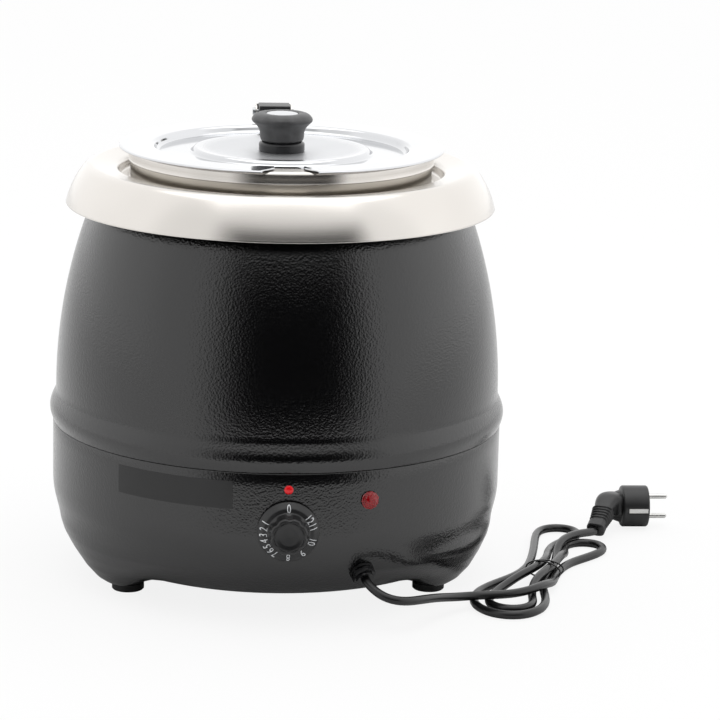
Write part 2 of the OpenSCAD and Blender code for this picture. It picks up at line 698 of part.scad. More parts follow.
module dial_marker() {
    color("#d3202a") at_az(0) translate([base_r, 0, dial_z + marker_rise]) rotate([0, 90, 0]) union() {
        translate([0, 0, 0.1]) rotate_extrude() polygon([[0, 0], [marker_r, 0], [marker_r, 0.3],
            [marker_r * 0.7, 0.9], [marker_r * 0.35, 1.15], [0, 1.2]]);
        translate([0, 0, -5]) cylinder(h = 5.5, r = marker_stem_r);
    }
}

// blank film where such a kettle carries its notices
module bare_label() {
    color("#17181a") at_az(film_az) rotate_extrude(angle = film_sweep)
        translate([base_r + 0.05, film_z]) square([0.25, film_h]);
}

gland_out = 10;
module cord_gland() {
    color("#141415") at_gland() difference() {
        union() {
            cylinder(h = 2.5, r = gland_r + 2.6);
            translate([0, 0, 2.5]) cylinder(h = 5, r = gland_r + 2.2, $fn = 6);
            translate([0, 0, 7.5]) cylinder(h = gland_out - 7.5, r = gland_r - 0.5);
            translate([0, 0, -14]) cylinder(h = 15, r = gland_r);
        }
        translate([0, 0, -20]) cylinder(h = 40, r = cord_d / 2 + fit);
    }
}

module gland_locknut() {
    color("#141415") at_gland() translate([0, 0, -base_t - 1.1 - 4]) nut(2 * gland_r, 21, 4);
}

// ---- mains lead, hank and plug ----

gland_p = let (r = gland_r_at, a = gland_az - 90) [r * cos(a), r * sin(a), gland_z];
gland_n = let (a = gland_az - 90) [cos(a) * cos(gland_fall), sin(a) * cos(gland_fall), -sin(gland_fall)];

module power_cord() {
    color("#1c1c1e") sweep(concat(inner_route, [for (d = [-15, -12, 0, gland_out, gland_out + 1])
        gland_p + d * gland_n], cord_route), cord_d / 2 - 0.02, 12);
}

module cord_hank() {
    color("#1c1c1e") linear_extrude(hank_h) polygon(hank_edge);
}

module cord_tail() {
    d = unit(sleeve_top - sleeve_end);
    color("#1c1c1e") sweep(concat(tail_route, [sleeve_end - 2 * d, sleeve_end + 12 * d]), cord_d / 2 - 0.02, 12);
}

// wire tie bent over the waist of the hank, with both ends down to the floor
module hank_tie() {
    w = 26;
    color("#0f0f10") translate(hank_waist) rotate([0, 0, 67]) difference() {
        translate([-1, -w, 0]) cube([2, 2 * w, hank_h + 1]);
        translate([-2, 1 - w, -1]) cube([4, 2 * w - 2, hank_h + 1.02]);
    }
}

module plug_body() {
    c = plug_c;
    color("#1b1b1d") difference() {
        union() {
            translate(c) rotate([0, 90, 0]) translate([0, 0, -14]) rotate_extrude() polygon([[0, 0],
                [plug_d / 2 - 3, 0], [plug_d / 2, 3], [plug_d / 2, 27], [plug_d / 2 - 0.8, 28], [0, 28]]);
            translate(c) rotate([0, -90, 0]) translate([0, 0, 13]) cylinder(h = 14, r1 = 15, r2 = 11);
            translate(c + [-26, -1, 4]) sphere(r = 11.2, $fn = 48);
        }
        for (side = [-1, 1]) translate(c + [8.9, 0, side * plug_pitch / 2]) rotate([0, 90, 0])
            cylinder(h = 10, r = plug_pin_d / 2 + 0.8 + fit);
        for (side = [-1, 1]) translate(c + [-6, side * (plug_d / 2 - 1) - 2, -3]) cube([22, 4, 6]);
    }
}

// ribbed, tapered sleeve that guards the lead where it enters the plug
module plug_sleeve() {
    d = sleeve_end - sleeve_top;
    l = norm(d);
    color("#1b1b1d") along(sleeve_top, d) difference() {
        union() {
            cylinder(h = l, r1 = 10, r2 = 7.5);
            for (k = [0:3]) translate([0, 0, l * 0.42 + k * 4]) cylinder(h = 2, r = 9.6 - k * 0.3);
            translate([0, 0, l - 10]) cylinder(h = 10, r = 8.6);
        }
        translate([0, 0, l - 12]) cylinder(h = 14, r = cord_d / 2 + fit);
    }
}

module plug_pins() {
    color("#c8cacb") for (side = [-1, 1]) translate(plug_c + [9, 0, side * plug_pitch / 2])
        rotate([0, 90, 0]) union() {
            cylinder(h = 5, r = plug_pin_d / 2 + 0.8);
            translate([0, 0, 4]) cylinder(h = plug_pin_l - 0.4, r = plug_pin_d / 2);
            translate([0, 0, plug_pin_l + 3.6]) cylinder(h = 1.4, r1 = plug_pin_d / 2, r2 = plug_pin_d / 2 - 1.4);
        }
}

module plug_earth_strips() {
    color("#c8cacb") for (side = [-1, 1])
        translate(plug_c + [-5.5, side * (plug_d / 2 - 1.5) - 0.5, -2.5]) cube([18, 1, 5]);
}

// ---- dial ----

module dial_shaft() {
    color("#b9bbbd") at_az(0) translate([base_r - 31, 0, dial_z]) rotate([0, 90, 0]) difference() {
        cylinder(h = 31 + skirt_back + shaft_in, r = shaft_d / 2);
        translate([shaft_d / 2 - 1.4, -5, 31 + skirt_back + 4]) cube([3, 10, 30]);
    }
}
skirt_back = 1.4;
shaft_in = 11;

// skirt and fluted grip moulded in one piece, hollow behind
module dial_knob() {
    top = skirt_h + grip_h;
    color("#26272a") at_az(0) translate([base_r + skirt_back, 0, dial_z]) rotate([0, 90, 0]) difference() {
        rotate_extrude() polygon([[0, 0], [skirt_r, 0], [skirt_r, 1.6], [skirt_r - 4.8, skirt_h],
            [grip_r + 0.6, skirt_h + 0.6], [grip_r, skirt_h + 2], [grip_r - 1, top - 1.2],
            [grip_r - 2.2, top], [grip_r - 4.5, top], [grip_r - 4.5, top - 1.5], [0, top - 1.5]]);
        translate([0, 0, -1]) cylinder(h = 4.2, r = skirt_r - 2.5);
        translate([0, 0, -1]) cylinder(h = shaft_in + 2, r = shaft_d / 2 + fit);
        for (k = [0:flute_count - 1]) rotate([0, 0, 360 / flute_count * (k + 0.5)])
            translate([grip_r + 3.2, 0, skirt_h + 1.2]) cylinder(h = grip_h, r = 5);
    }
}

// spring that grips the shaft inside the knob
module dial_clip() {
    color("#b9bbbd") at_az(0) translate([base_r + skirt_back + 0.4, 0, dial_z]) rotate([0, 90, 0])
        difference() {
            cylinder(h = 2.8, r = shaft_d / 2 + 2.5);
            translate([0, 0, -1]) cylinder(h = 5, r = shaft_d / 2 + fit);
        }
}

// dished plug that closes the front of the grip
module dial_cap() {
    top = skirt_h + grip_h;
    color("#303236") at_az(0) translate([base_r + skirt_back, 0, dial_z]) rotate([0, 90, 0])
        translate([0, 0, top - 1.5]) rotate_extrude() polygon([[0, 0], [grip_r - 4.5 - fit, 0],
            [grip_r - 4.5 - fit, 1.4], [grip_r - 6, 1.4], [grip_r - 9, 0.7], [0, 0.5]]);
}

// ---- inset pot, collar and lid ----

module inset_pot() {
    floor_z = ledge_z - pot_depth;
    path = concat([[0, floor_z]], arc([pot_r - pot_corner_r, floor_z + pot_corner_r], pot_corner_r, -90, 0, 8),
        [[pot_r, ledge_z - 1.5], [pot_r + 1.5, ledge_z + rest_gap], [neck_r - 1.5, ledge_z + rest_gap],
            [neck_r, ledge_z + rest_gap + 1.5], [neck_r, rim_top_z - 2.1]]);
    color("#c3c6c8") rotate_extrude() union() {
        polygon(sheet(path, pot_t));
        translate([neck_r - 2.1, rim_top_z - 2.1]) circle(r = 2, $fn = 32);
    }
}

module lid_collar() {
    path = [[collar_r, collar_z - collar_h], [collar_r, collar_z - 2.4], [collar_r - 1, collar_z - 0.7],
        [collar_r - 3, collar_z], [collar_mouth_r + 2, collar_z], [collar_mouth_r, collar_z - 1.6]];
    color("#d0d2d4") difference() {
        union() {
            rotate_extrude() polygon(sheet(path, collar_t));
            rotate_extrude() translate([collar_r - 0.3, collar_z - collar_h]) circle(r = 0.7, $fn = 24);
        }
        for (x = [-1, 1]) translate([x * rivet_x, 0, rivet_z]) rotate([-90, 0, 0])
            cylinder(h = 200, r = rivet_r + fit);
    }
}
rivet_x = 8;
rivet_r = 1.6;
bracket_z = collar_z - collar_h + 3;
bracket_h = 6.2;
rivet_z = bracket_z + ear_t + rivet_r + 1;

// folded sheet bracket: curved foot on the collar, two ears for the pin, back plate as the lid's stop
back_y = hinge_y + 9.6;
ear_x = block_w / 2 + 1.3;
module hinge_bracket() {
    foot_r = collar_r + 0.05;
    color("#b9bcbf") difference() {
        union() {
            intersection() {
                translate([0, 0, bracket_z]) difference() {
                    cylinder(h = bracket_h, r = foot_r + ear_t);
                    translate([0, 0, -1]) cylinder(h = bracket_h + 2, r = foot_r);
                }
                translate([-ear_x - ear_t, 0, 0]) cube([2 * (ear_x + ear_t), 200, 500]);
            }
            difference() {
                translate([-ear_x - ear_t, 120, bracket_z]) cube([2 * (ear_x + ear_t), back_y + ear_t - 120, ear_t]);
                translate([0, 0, bracket_z - 1]) cylinder(h = ear_t + 2, r = foot_r);
            }
            translate([-ear_x - ear_t, back_y, bracket_z])
                cube([2 * (ear_x + ear_t), ear_t, hinge_z + 5.5 - bracket_z]);
            for (x = [-ear_x - ear_t, ear_x]) translate([x, 0, 0]) {
                translate([0, foot_r - 0.5, bracket_z]) cube([ear_t, back_y + 1 - foot_r, bracket_h]);
                translate([0, hinge_y + 1.5, bracket_z]) cube([ear_t, back_y - hinge_y, hinge_z + 5.5 - bracket_z]);
                translate([0, hinge_y, hinge_z]) rotate([0, 90, 0]) cylinder(h = ear_t, r = 5.5);
                translate([0, hinge_y, hinge_z]) cube([ear_t, 4, 5.5]);
            }
        }
        translate([-30, hinge_y, hinge_z]) rotate([0, 90, 0]) cylinder(h = 60, r = pin_d / 2 + fit);
        for (x = [-1, 1]) translate([x * rivet_x, foot_r - 5, rivet_z]) rotate([-90, 0, 0])
            cylinder(h = 10, r = rivet_r + fit);
    }
}

module bracket_rivets() {
    seat = sqrt(pow(collar_r + 0.05 + ear_t, 2) - pow(rivet_x, 2)) + 0.4;
    inner = sqrt(pow(collar_r - collar_t, 2) - pow(rivet_x, 2));
    color("#cfd1d3") for (x = [-1, 1]) translate([x * rivet_x, 0, rivet_z]) rotate([-90, 0, 0]) {
        translate([0, 0, seat]) cylinder(h = 1, r1 = rivet_r + 0.9, r2 = rivet_r + 0.2);
        translate([0, 0, inner]) cylinder(h = seat + 0.4 - inner, r = rivet_r);
    }
}

module hinge_pin() {
    color("#cfd1d3") translate([0, hinge_y, hinge_z]) rotate([0, 90, 0]) union() {
        translate([0, 0, -(ear_x + ear_t + 0.3)]) cylinder(h = 2 * (ear_x + ear_t + 0.3), r = pin_d / 2);
        translate([0, 0, -(ear_x + ear_t + 2.6)]) cylinder(h = 2.3, r = pin_d / 2 + 1.4);
        translate([0, 0, ear_x + ear_t + 0.2]) cylinder(h = 1.6, r1 = pin_d / 2 + 0.9, r2 = pin_d / 2);
    }
}

// pressed lid: hemmed edge, flange, sunken panel and dished centre disc
module lid() {
    path = [[0, knob_seat_z], [disc_r * 0.36, knob_seat_z], [disc_r - 6, disc_z - 0.3], [disc_r - 2, disc_z],
        [disc_r, disc_z - 1.2], [disc_r + 1.6, panel_z + 0.6], [disc_r + 3.5, panel_z],
        [step_r - 3, panel_z], [step_r - 1, panel_z + 1.2], [step_r, lid_top_z - 1.6],
        [step_r + 2.2, lid_top_z], [lid_r - 1, lid_top_z], [lid_r, lid_top_z - 0.8],
        [lid_r, lid_top_z - lid_hem]];
    color("#d6d8da") difference() {
        rotate_extrude() polygon(sheet(path, -lid_t));
        // ladle notch with S-curved sides
        translate([0, 0, panel_z - 5]) linear_extrude(panel_drop + 15) notch_outline();
        translate([0, 0, knob_seat_z - 5]) cylinder(h = 10, r = knob_screw_d / 2 + fit);
        for (x = [-1, 1]) translate([x * block_rivet_x, block_rivet_y, lid_top_z - lid_t]) {
            translate([0, 0, -1]) cylinder(h = lid_t + 3, r = rivet_r + fit);
            translate([0, 0, -fit]) cylinder(h = 0.6, r1 = rivet_r + 0.6 + fit, r2 = rivet_r + fit);
        }
    }
}
block_rivet_x = 7;
block_rivet_y = hinge_y - 15;

// plan of the ladle notch: straight slot, then a smooth flare out to the lid's edge
module notch_outline() {
    steps = 10;
    side = [for (i = [0:steps]) let (t = i / steps, s = (1 - cos(180 * t)) / 2)
        [notch_w / 2 + (notch_mouth_w - notch_w) / 2 * s, -(flare_r + (lid_r - flare_r) * t)]];
    polygon(concat([[-notch_w / 2, -notch_r], [notch_w / 2, -notch_r]], side,
        [[notch_mouth_w / 2, -lid_r - 5], [-notch_mouth_w / 2, -lid_r - 5]],
        [for (i = [steps:-1:0]) [-side[i][0], side[i][1]]]));
}

// moulded block on the lid, with a round tail on the pin
module hinge_block() {
    color("#1c1d1f") difference() {
        union() {
            translate([-block_w / 2, hinge_y - block_front, lid_top_z]) cube([block_w, block_front, 2 * hinge_rise]);
            translate([-block_w / 2, hinge_y, hinge_z]) rotate([0, 90, 0]) cylinder(h = block_w, r = hinge_rise);
            translate([-block_w / 2 - 0.8, hinge_y, hinge_z]) rotate([0, 90, 0]) cylinder(h = block_w + 1.6, r = pin_d / 2 + 1.5);
        }
        translate([-30, hinge_y, hinge_z]) rotate([0, 90, 0]) cylinder(h = 60, r = pin_d / 2 + fit);
        for (x = [-1, 1]) translate([x * block_rivet_x, block_rivet_y, lid_top_z - 1]) {
            cylinder(h = 30, r = rivet_r + fit);
            translate([0, 0, 7]) cylinder(h = 30, r = rivet_r + 2);
        }
        // the block clears the rounded edge of the lid behind it
        translate([-30, lid_r - 3.5, lid_top_z - 10]) cube([60, 20, 10.4]);
    }
}

module block_rivets() {
    color("#cfd1d3") for (x = [-1, 1]) translate([x * block_rivet_x, block_rivet_y, lid_top_z]) {
        translate([0, 0, -lid_t]) cylinder(h = 0.55, r1 = rivet_r + 0.6, r2 = rivet_r);
        translate([0, 0, -lid_t]) cylinder(h = 7.2 + lid_t, r = rivet_r);
        translate([0, 0, 6]) cylinder(h = 1.4, r = rivet_r + 1.4);
    }
}

module knob_collar() {
    color("#1b1c1f") difference() {
        translate([0, 0, knob_seat_z]) rotate_extrude() polygon([[0, 0], [knob_collar_r, 0],
            [knob_collar_r, knob_collar_h - 2], [knob_collar_r - 1.2, knob_collar_h - 0.4],
            [knob_collar_r - 3, knob_collar_h], [0, knob_collar_h]]);
        translate([0, 0, knob_seat_z - 1]) cylinder(h = 30, r = knob_screw_d / 2 + fit);
    }
}

knob_z = knob_seat_z + knob_collar_h;
module lid_knob() {
    crown_r = knob_r - 5.5;
    color("#232528") difference() {
        translate([0, 0, knob_z]) rotate_extrude() polygon([[0, 0], [knob_collar_r - 3, 0],
            [knob_collar_r - 1.4, 1.4], [knob_collar_r - 0.7, 4], [knob_collar_r - 0.6, 8],
            [knob_collar_r + 0.6, 11.5], [knob_r - 3.2, 15], [knob_r - 0.5, knob_h - 7.5],
            [knob_r, knob_h - 6.2], [knob_r - 0.4, knob_h - 4.4], [knob_r - 2.6, knob_h - 1.8],
            [crown_r, knob_h - 0.4], [insert_r + 4, knob_h], [insert_r, knob_h - 0.6],
            [insert_r, knob_h - 2.2], [0, knob_h - 2.2]]);
        translate([0, 0, knob_z - 1]) cylinder(h = 12, r = knob_screw_d / 2 + fit);
    }
}

module knob_insert() {
    color("#e3e5e7") translate([0, 0, knob_z + knob_h - 2.2]) rotate_extrude()
        polygon([[0, 0], [insert_r - fit, 0], [insert_r - fit, 1.2], [insert_r - 1.2, 1.7], [0, 1.9]]);
}

module knob_washer() {
    color("#b9bbbd") translate([0, 0, knob_seat_z - lid_t - 1.2]) difference() {
        cylinder(h = 1.2, r = 7);
        translate([0, 0, -1]) cylinder(h = 4, r = knob_screw_d / 2 + fit);
    }
}

module knob_screw() {
    color("#b9bbbd") translate([0, 0, knob_seat_z - lid_t - 1.2]) difference() {
        union() {
            translate([0, 0, -2.6]) cylinder(h = 2.6, r1 = 3, r2 = 4.6);
            translate([0, 0, -0.1]) cylinder(h = 1.2 + lid_t + knob_collar_h + 9, r = knob_screw_d / 2);
        }
        translate([-4, -0.6, -3]) cube([8, 1.2, 1.4]);
    }
}

// the bounding box is centred on the origin: the dial reaches further forward than the bead back
axis_y = (base_r + skirt_back + skirt_h + grip_h - max([for (p = body_path) p[0]])) / 2;
translate([0, axis_y, 0]) {
    base_shell();
    base_plate();
    rubber_feet();
    foot_screws();
    foot_nuts();
    body_shell();
    water_pan();
    top_ring();
    ring_nuts();
    tie_rods();
    tie_nuts();
    heater_plate();
    heating_element();
    element_clamp();
    clamp_nut();
    thermostat_body();
    thermostat_screws();
    sensing_bulb();
    bulb_clip();
    thermal_cutout();
    terminal_block();
    earth_screw();
    inner_leads();
    lamp_lens();
    lamp_body();
    lamp_nut();
    dial_marker();
    bare_label();
    cord_gland();
    gland_locknut();
    power_cord();
    cord_hank();
    cord_tail();
    hank_tie();
    plug_body();
    plug_sleeve();
    plug_pins();
    plug_earth_strips();
    dial_shaft();
    dial_clip();
    dial_knob();
    dial_cap();
    inset_pot();
    lid_collar();
    hinge_bracket();
    bracket_rivets();
    hinge_pin();
    lid();
    hinge_block();
    block_rivets();
    knob_collar();
    lid_knob();
    knob_insert();
    knob_screw();
    knob_washer();
}
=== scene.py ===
import math

import bmesh
import bpy
import numpy as np
from mathutils import Matrix


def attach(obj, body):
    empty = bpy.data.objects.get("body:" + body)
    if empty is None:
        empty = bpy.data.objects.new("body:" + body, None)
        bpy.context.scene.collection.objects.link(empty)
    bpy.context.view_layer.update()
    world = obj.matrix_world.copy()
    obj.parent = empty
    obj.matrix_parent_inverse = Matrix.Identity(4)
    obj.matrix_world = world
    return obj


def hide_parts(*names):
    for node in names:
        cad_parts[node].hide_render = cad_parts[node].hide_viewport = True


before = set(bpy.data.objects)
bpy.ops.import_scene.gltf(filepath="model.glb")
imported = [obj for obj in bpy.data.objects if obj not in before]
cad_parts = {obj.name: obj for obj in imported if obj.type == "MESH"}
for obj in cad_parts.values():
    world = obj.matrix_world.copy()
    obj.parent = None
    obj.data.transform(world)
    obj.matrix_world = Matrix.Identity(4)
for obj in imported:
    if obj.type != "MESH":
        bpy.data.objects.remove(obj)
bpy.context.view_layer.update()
mm = 0.001
# radius in mm at which a turned profile starts on its axis
pole = 0.01
# the kettle is drawn round the Z axis and then stands this far back, which centres its bounding box
kettleAxis = np.array([0, 8.365, 0]) * mm


# small helpers used by every piece

def linearColour(hexText):
    # each sRGB channel c becomes c / 12.92 below 0.04045, else ((c + 0.055) / 1.055) to the power 2.4
    c = np.array([int(hexText[i:i + 2], 16) / 255 for i in (1, 3, 5)])
    c = np.where(c <= 0.04045, c / 12.92, ((c + 0.055) / 1.055) ** 2.4)
    return (float(c[0]), float(c[1]), float(c[2]), 1.0)


def addNode(tree, kind, settings=None, links=None):
    # settings starting with in: go on sockets, and stops are the places and colours along a ramp;
    # links maps an input's name or number to (node, output name or number)
    node = tree.nodes.new(kind)
    for key, value in (settings or {}).items():
        if key == "stops":
            for stop, (place, colour) in zip(node.color_ramp.elements, value):
                stop.position, stop.color = place, linearColour(colour)
        elif key.startswith("in:"):
            key = key[3:]
            node.inputs[int(key) if key.isdigit() else key].default_value = value
        else:
            setattr(node, key, value)
    for key, (source, output) in (links or {}).items():
        tree.links.new(source.outputs[output], node.inputs[key])
    return node


def newMaterial(name):
    material = bpy.data.materials.new(name)
    material.use_nodes = True
    tree = material.node_tree
    shader = next(n for n in tree.nodes if n.type == "BSDF_PRINCIPLED")
    return material, tree, shader


def setShader(shader, values, links):
    # constants go straight on the sockets; links maps an input to (node, output name)
    for key, value in values.items():
        shader.inputs[key].default_value = value
    for key, (source, output) in links.items():
        shader.id_data.links.new(source.outputs[output], shader.inputs[key])


def gridFaces(index):
    # each cell of a grid of point numbers is one face
    return np.stack([index[:-1, :-1], index[:-1, 1:], index[1:, 1:], index[1:, :-1]], -1).reshape(-1, 4)


def gridMesh(name, points, closedU=False, closedV=False, material=None, smooth=True):
    # points is (rows, columns, 3); neighbours in the grid share a face, and a closed side meets its start
    rows, cols = points.shape[:2]
    index = np.arange(rows * cols).reshape(rows, cols)
    if closedU:
        index = np.vstack([index, index[:1]])
    if closedV:
        index = np.hstack([index, index[:, :1]])
    return meshFrom(name, points.reshape(-1, 3), gridFaces(index), material, smooth)


def meshFrom(name, verts, faces, material=None, smooth=True):
    mesh = bpy.data.meshes.new(name)
    mesh.from_pydata((np.asarray(verts, float) + kettleAxis).tolist(), [], np.asarray(faces).tolist())
    mesh.validate()
    piece = newObject(name, mesh)
    if material:
        mesh.materials.append(material)
    mesh.polygons.foreach_set("use_smooth", np.full(len(mesh.polygons), smooth))
    tidyMesh(piece)
    return piece


def tidyMesh(piece):
    # merges doubled points at poles and seams, then turns all faces outwards
    bm = bmesh.new()
    bm.from_mesh(piece.data)
    bmesh.ops.remove_doubles(bm, verts=bm.verts, dist=1e-6)
    bmesh.ops.recalc_face_normals(bm, faces=bm.faces)
    bm.to_mesh(piece.data)
    bm.free()


def newObject(name, data):
    thing = bpy.data.objects.new(name, data)
    bpy.context.scene.collection.objects.link(thing)
    return thing


def joinPieces(name, pieces):
    # moves the faces of all pieces into one mesh and keeps their materials
    target = pieces[0]
    with bpy.context.temp_override(active_object=target, selected_editable_objects=pieces, object=target,
                                   selected_objects=pieces):
        bpy.ops.object.join()
    target.name = name
    target.data.name = name
    return target


def arc(cx, cz, r, a, b, n):
    # n + 1 points of a circle about (cx, cz) from angle a to angle b in degrees
    t = np.radians(np.linspace(a, b, n + 1))
    return np.stack([cx + r * np.cos(t), cz + r * np.sin(t)], -1)


def finer(profile, step):
    # adds points along straight stretches so that none is longer than step
    out = [profile[0]]
    for a, b in zip(profile[:-1], profile[1:]):
        n = max(1, int(math.ceil(np.linalg.norm(b - a) / step)))
        out.extend(a + (b - a) * k / n for k in range(1, n + 1))
    return np.array(out)


def roundCorners(profile, radius, n=4):
    # replaces each inner corner by a quadratic curve that starts and ends up to radius away from it
    out = [profile[0]]
    for a, b, c in zip(profile[:-2], profile[1:-1], profile[2:]):
        u, v = a - b, c - b
        lu, lv = np.linalg.norm(u), np.linalg.norm(v)
        d = min(radius, lu * 0.45, lv * 0.45)
        p, q = b + u / lu * d, b + v / lv * d
        t = np.linspace(0, 1, n + 1)[:, None]
        out.extend((1 - t) ** 2 * p + 2 * t * (1 - t) * b + t ** 2 * q)
    out.append(profile[-1])
    return np.array(out)


def revolve(name, profile, segments=160, closed=True, material=None, centre=(0, 0, 0), axis="z"):
    # carries a profile of (radius, height) in mm round an axis: point = (r cos t, r sin t, h)
    t = fullTurn(segments)
    p = np.asarray(profile, float)
    r, h = p[:, 0][:, None], p[:, 1][:, None]
    x, y, z = r * np.cos(t), r * np.sin(t), h + 0 * t
    if axis == "-y":
        x, y, z = x, -z, y
    points = np.stack([x, y, z], -1) + np.array(centre)
    return gridMesh(name, points * mm, closedU=closed, closedV=True, material=material)


def fullTurn(n):
    # n even angles, the first not repeated at the end
    return np.linspace(0, 2 * np.pi, n, endpoint=False)


def around(r, angle, z):
    # point = (r cos angle, r sin angle, z)
    return np.stack([r * np.cos(angle), r * np.sin(angle), z + 0 * angle], -1)


def insideOf(outer, sheet):
    # the line moved inwards by the sheet's thickness, square to its own direction
    d = np.gradient(outer, axis=0)
    d /= np.linalg.norm(d, axis=1)[:, None]
    return outer + sheet * np.stack([-d[:, 1], d[:, 0]], -1)


def smoothStep(t):
    # 3 t squared less 2 t cubed, held at 0 and 1 outside
    t = np.clip(t, 0, 1)
    return t * t * (3 - 2 * t)


# camera: a long lens a little above the kettle, rolled by a degree and a half

cameraPlace = {"position": (-0.1444, -2.5793, 0.7958), "heading": 0.08385, "down": 0.23002, "roll": 0.02454,
               "lens": 150.0, "sensor": 36.0, "farthest": 50.0}


def placeCamera(c):
    # looks along the heading and downwards, in radians; the roll turns right and up about that line
    view = np.array([math.sin(c["heading"]) * math.cos(c["down"]),
                     math.cos(c["heading"]) * math.cos(c["down"]), -math.sin(c["down"])])
    right = np.cross(view, [0, 0, 1])
    right /= np.linalg.norm(right)
    up = np.cross(right, view)
    k, s = math.cos(c["roll"]), math.sin(c["roll"])
    right, up = right * k + up * s, -right * s + up * k
    data = bpy.data.cameras.new("camera")
    data.lens = c["lens"]
    data.sensor_width = c["sensor"]
    data.clip_end = c["farthest"]
    camera = newObject("camera", data)
    columns = (right, up, -view, c["position"])
    camera.matrix_world = Matrix([[column[i] for column in columns] for i in range(3)] + [[0, 0, 0, 1]])
    bpy.context.scene.camera = camera


placeCamera(cameraPlace)
print("camera placed")


# mains lead: one length from the gland to the plug, hanked and tied

lead = {
    "diameter": 7.5,
    "exit": (67.0, -184.1, 41.2),
    "points": [
        (70.8, -192.3, 36.5), (77.2, -199.2, 32.2), (87, -202.6, 28.8), (98.5, -200, 26.8),
        (111, -189.5, 25), (123.5, -174, 21.6), (137, -156.5, 17), (149, -145, 13.4), (162, -136, 11.7),
        (177, -133, 11.5), (192, -132, 11.5), (206, -127, 11.6), (219, -117, 11.7), (231, -102, 11.5),
        (240.5, -85, 7.5), (244.5, -66, 3.8), (249.5, -48, 3.8), (257, -30, 3.8), (268, -13, 3.8),
        (282, 0, 3.8), (296, 14, 3.8), (305.5, 28, 3.8), (304, 42, 3.8), (294, 50.5, 3.8),
        (280.5, 50, 3.8), (270.5, 42, 3.8), (267, 29, 3.8), (266.3, 14, 4.6), (263.5, 0, 8),
        (259.5, -12, 11.4), (253, -30, 11.6), (245, -48, 11.6), (236, -66, 11.6), (226, -82, 10),
        (220.8, -97, 5), (218.6, -113, 3.8), (218, -131, 3.8), (212.2, -145.2, 3.8), (198, -151, 3.8),
        (184, -145.2, 3.8), (178, -131, 3.8), (181, -115, 3.8), (189.5, -100, 4.3), (200.5, -86, 7),
        (211, -75, 10), (222, -63, 11.5), (235, -45, 12), (243, -26, 11.6), (247, -6, 9), (250.5, 14, 5),
        (256, 34, 3.8), (267, 50.5, 3.8), (282.5, 64, 3.8), (289.5, 80, 3.8), (283.5, 94, 3.8),
        (269, 99.5, 3.8), (255, 93, 3.8), (248.5, 78, 3.8), (244.5, 58, 3.8), (240.5, 35, 3.8),
        (236, 12, 3.8), (231, -10, 3.8), (224, -32, 3.8), (212, -53, 3.8), (197, -70, 3.8),
        (182, -86, 3.8), (171, -104, 3.8), (166, -122, 3.8), (167, -140, 3.8), (174.5, -156, 3.8),
        (188, -166, 3.8), (203, -166, 3.8), (217, -156, 3.8), (226, -140, 3.8), (230, -121, 3.8),
        (231, -102, 3.8), (232, -84, 3.8), (236, -65, 3.8), (242, -46, 3.8), (249, -27, 3.8),
        (254.6, -6, 3.8), (257.6, 8, 5.2), (261.8, 24, 11.2), (270, 38, 11.8), (280.5, 50, 11.9),
        (290, 58, 10.8), (298, 64, 9)],
    "plugEnd": (303.0, 72.0, 9.0),
    "step": 4.0,
}


def smoothPath(points, step):
    # centripetal Catmull-Rom curve through all points, then points at even steps, eased twelve times
    p = np.asarray(points, float)
    p = np.vstack([2 * p[0] - p[1], p, 2 * p[-1] - p[-2]])
    a, b, c, d = p[:-3], p[1:-2], p[2:-1], p[3:]
    k = [np.zeros(len(a))]
    for u, v in ((a, b), (b, c), (c, d)):
        k.append(k[-1] + np.sqrt(np.linalg.norm(v - u, axis=1)))
    k = [x[:, None, None] for x in k]
    t = k[1] + (k[2] - k[1]) * np.linspace(0, 1, 9)[None, :-1, None]
    a, b, c, d = (x[:, None, :] for x in (a, b, c, d))
    a1 = (k[1] - t) / (k[1] - k[0]) * a + (t - k[0]) / (k[1] - k[0]) * b
    a2 = (k[2] - t) / (k[2] - k[1]) * b + (t - k[1]) / (k[2] - k[1]) * c
    a3 = (k[3] - t) / (k[3] - k[2]) * c + (t - k[2]) / (k[3] - k[2]) * d
    b1 = (k[2] - t) / (k[2] - k[0]) * a1 + (t - k[0]) / (k[2] - k[0]) * a2
    b2 = (k[3] - t) / (k[3] - k[1]) * a2 + (t - k[1]) / (k[3] - k[1]) * a3
    curve = ((k[2] - t) / (k[2] - k[1]) * b1 + (t - k[1]) / (k[2] - k[1]) * b2).reshape(-1, 3)
    curve = np.vstack([curve, p[-2]])
    along = np.r_[0, np.cumsum(np.linalg.norm(np.diff(curve, axis=0), axis=1))]
    even = np.linspace(0, along[-1], int(along[-1] / step) + 1)
    out = np.stack([np.interp(even, along, curve[:, i]) for i in range(3)], -1)
    for _ in range(12):
        out[2:-2] = 0.25 * out[1:-3] + 0.5 * out[2:-2] + 0.25 * out[3:-1]
    return out


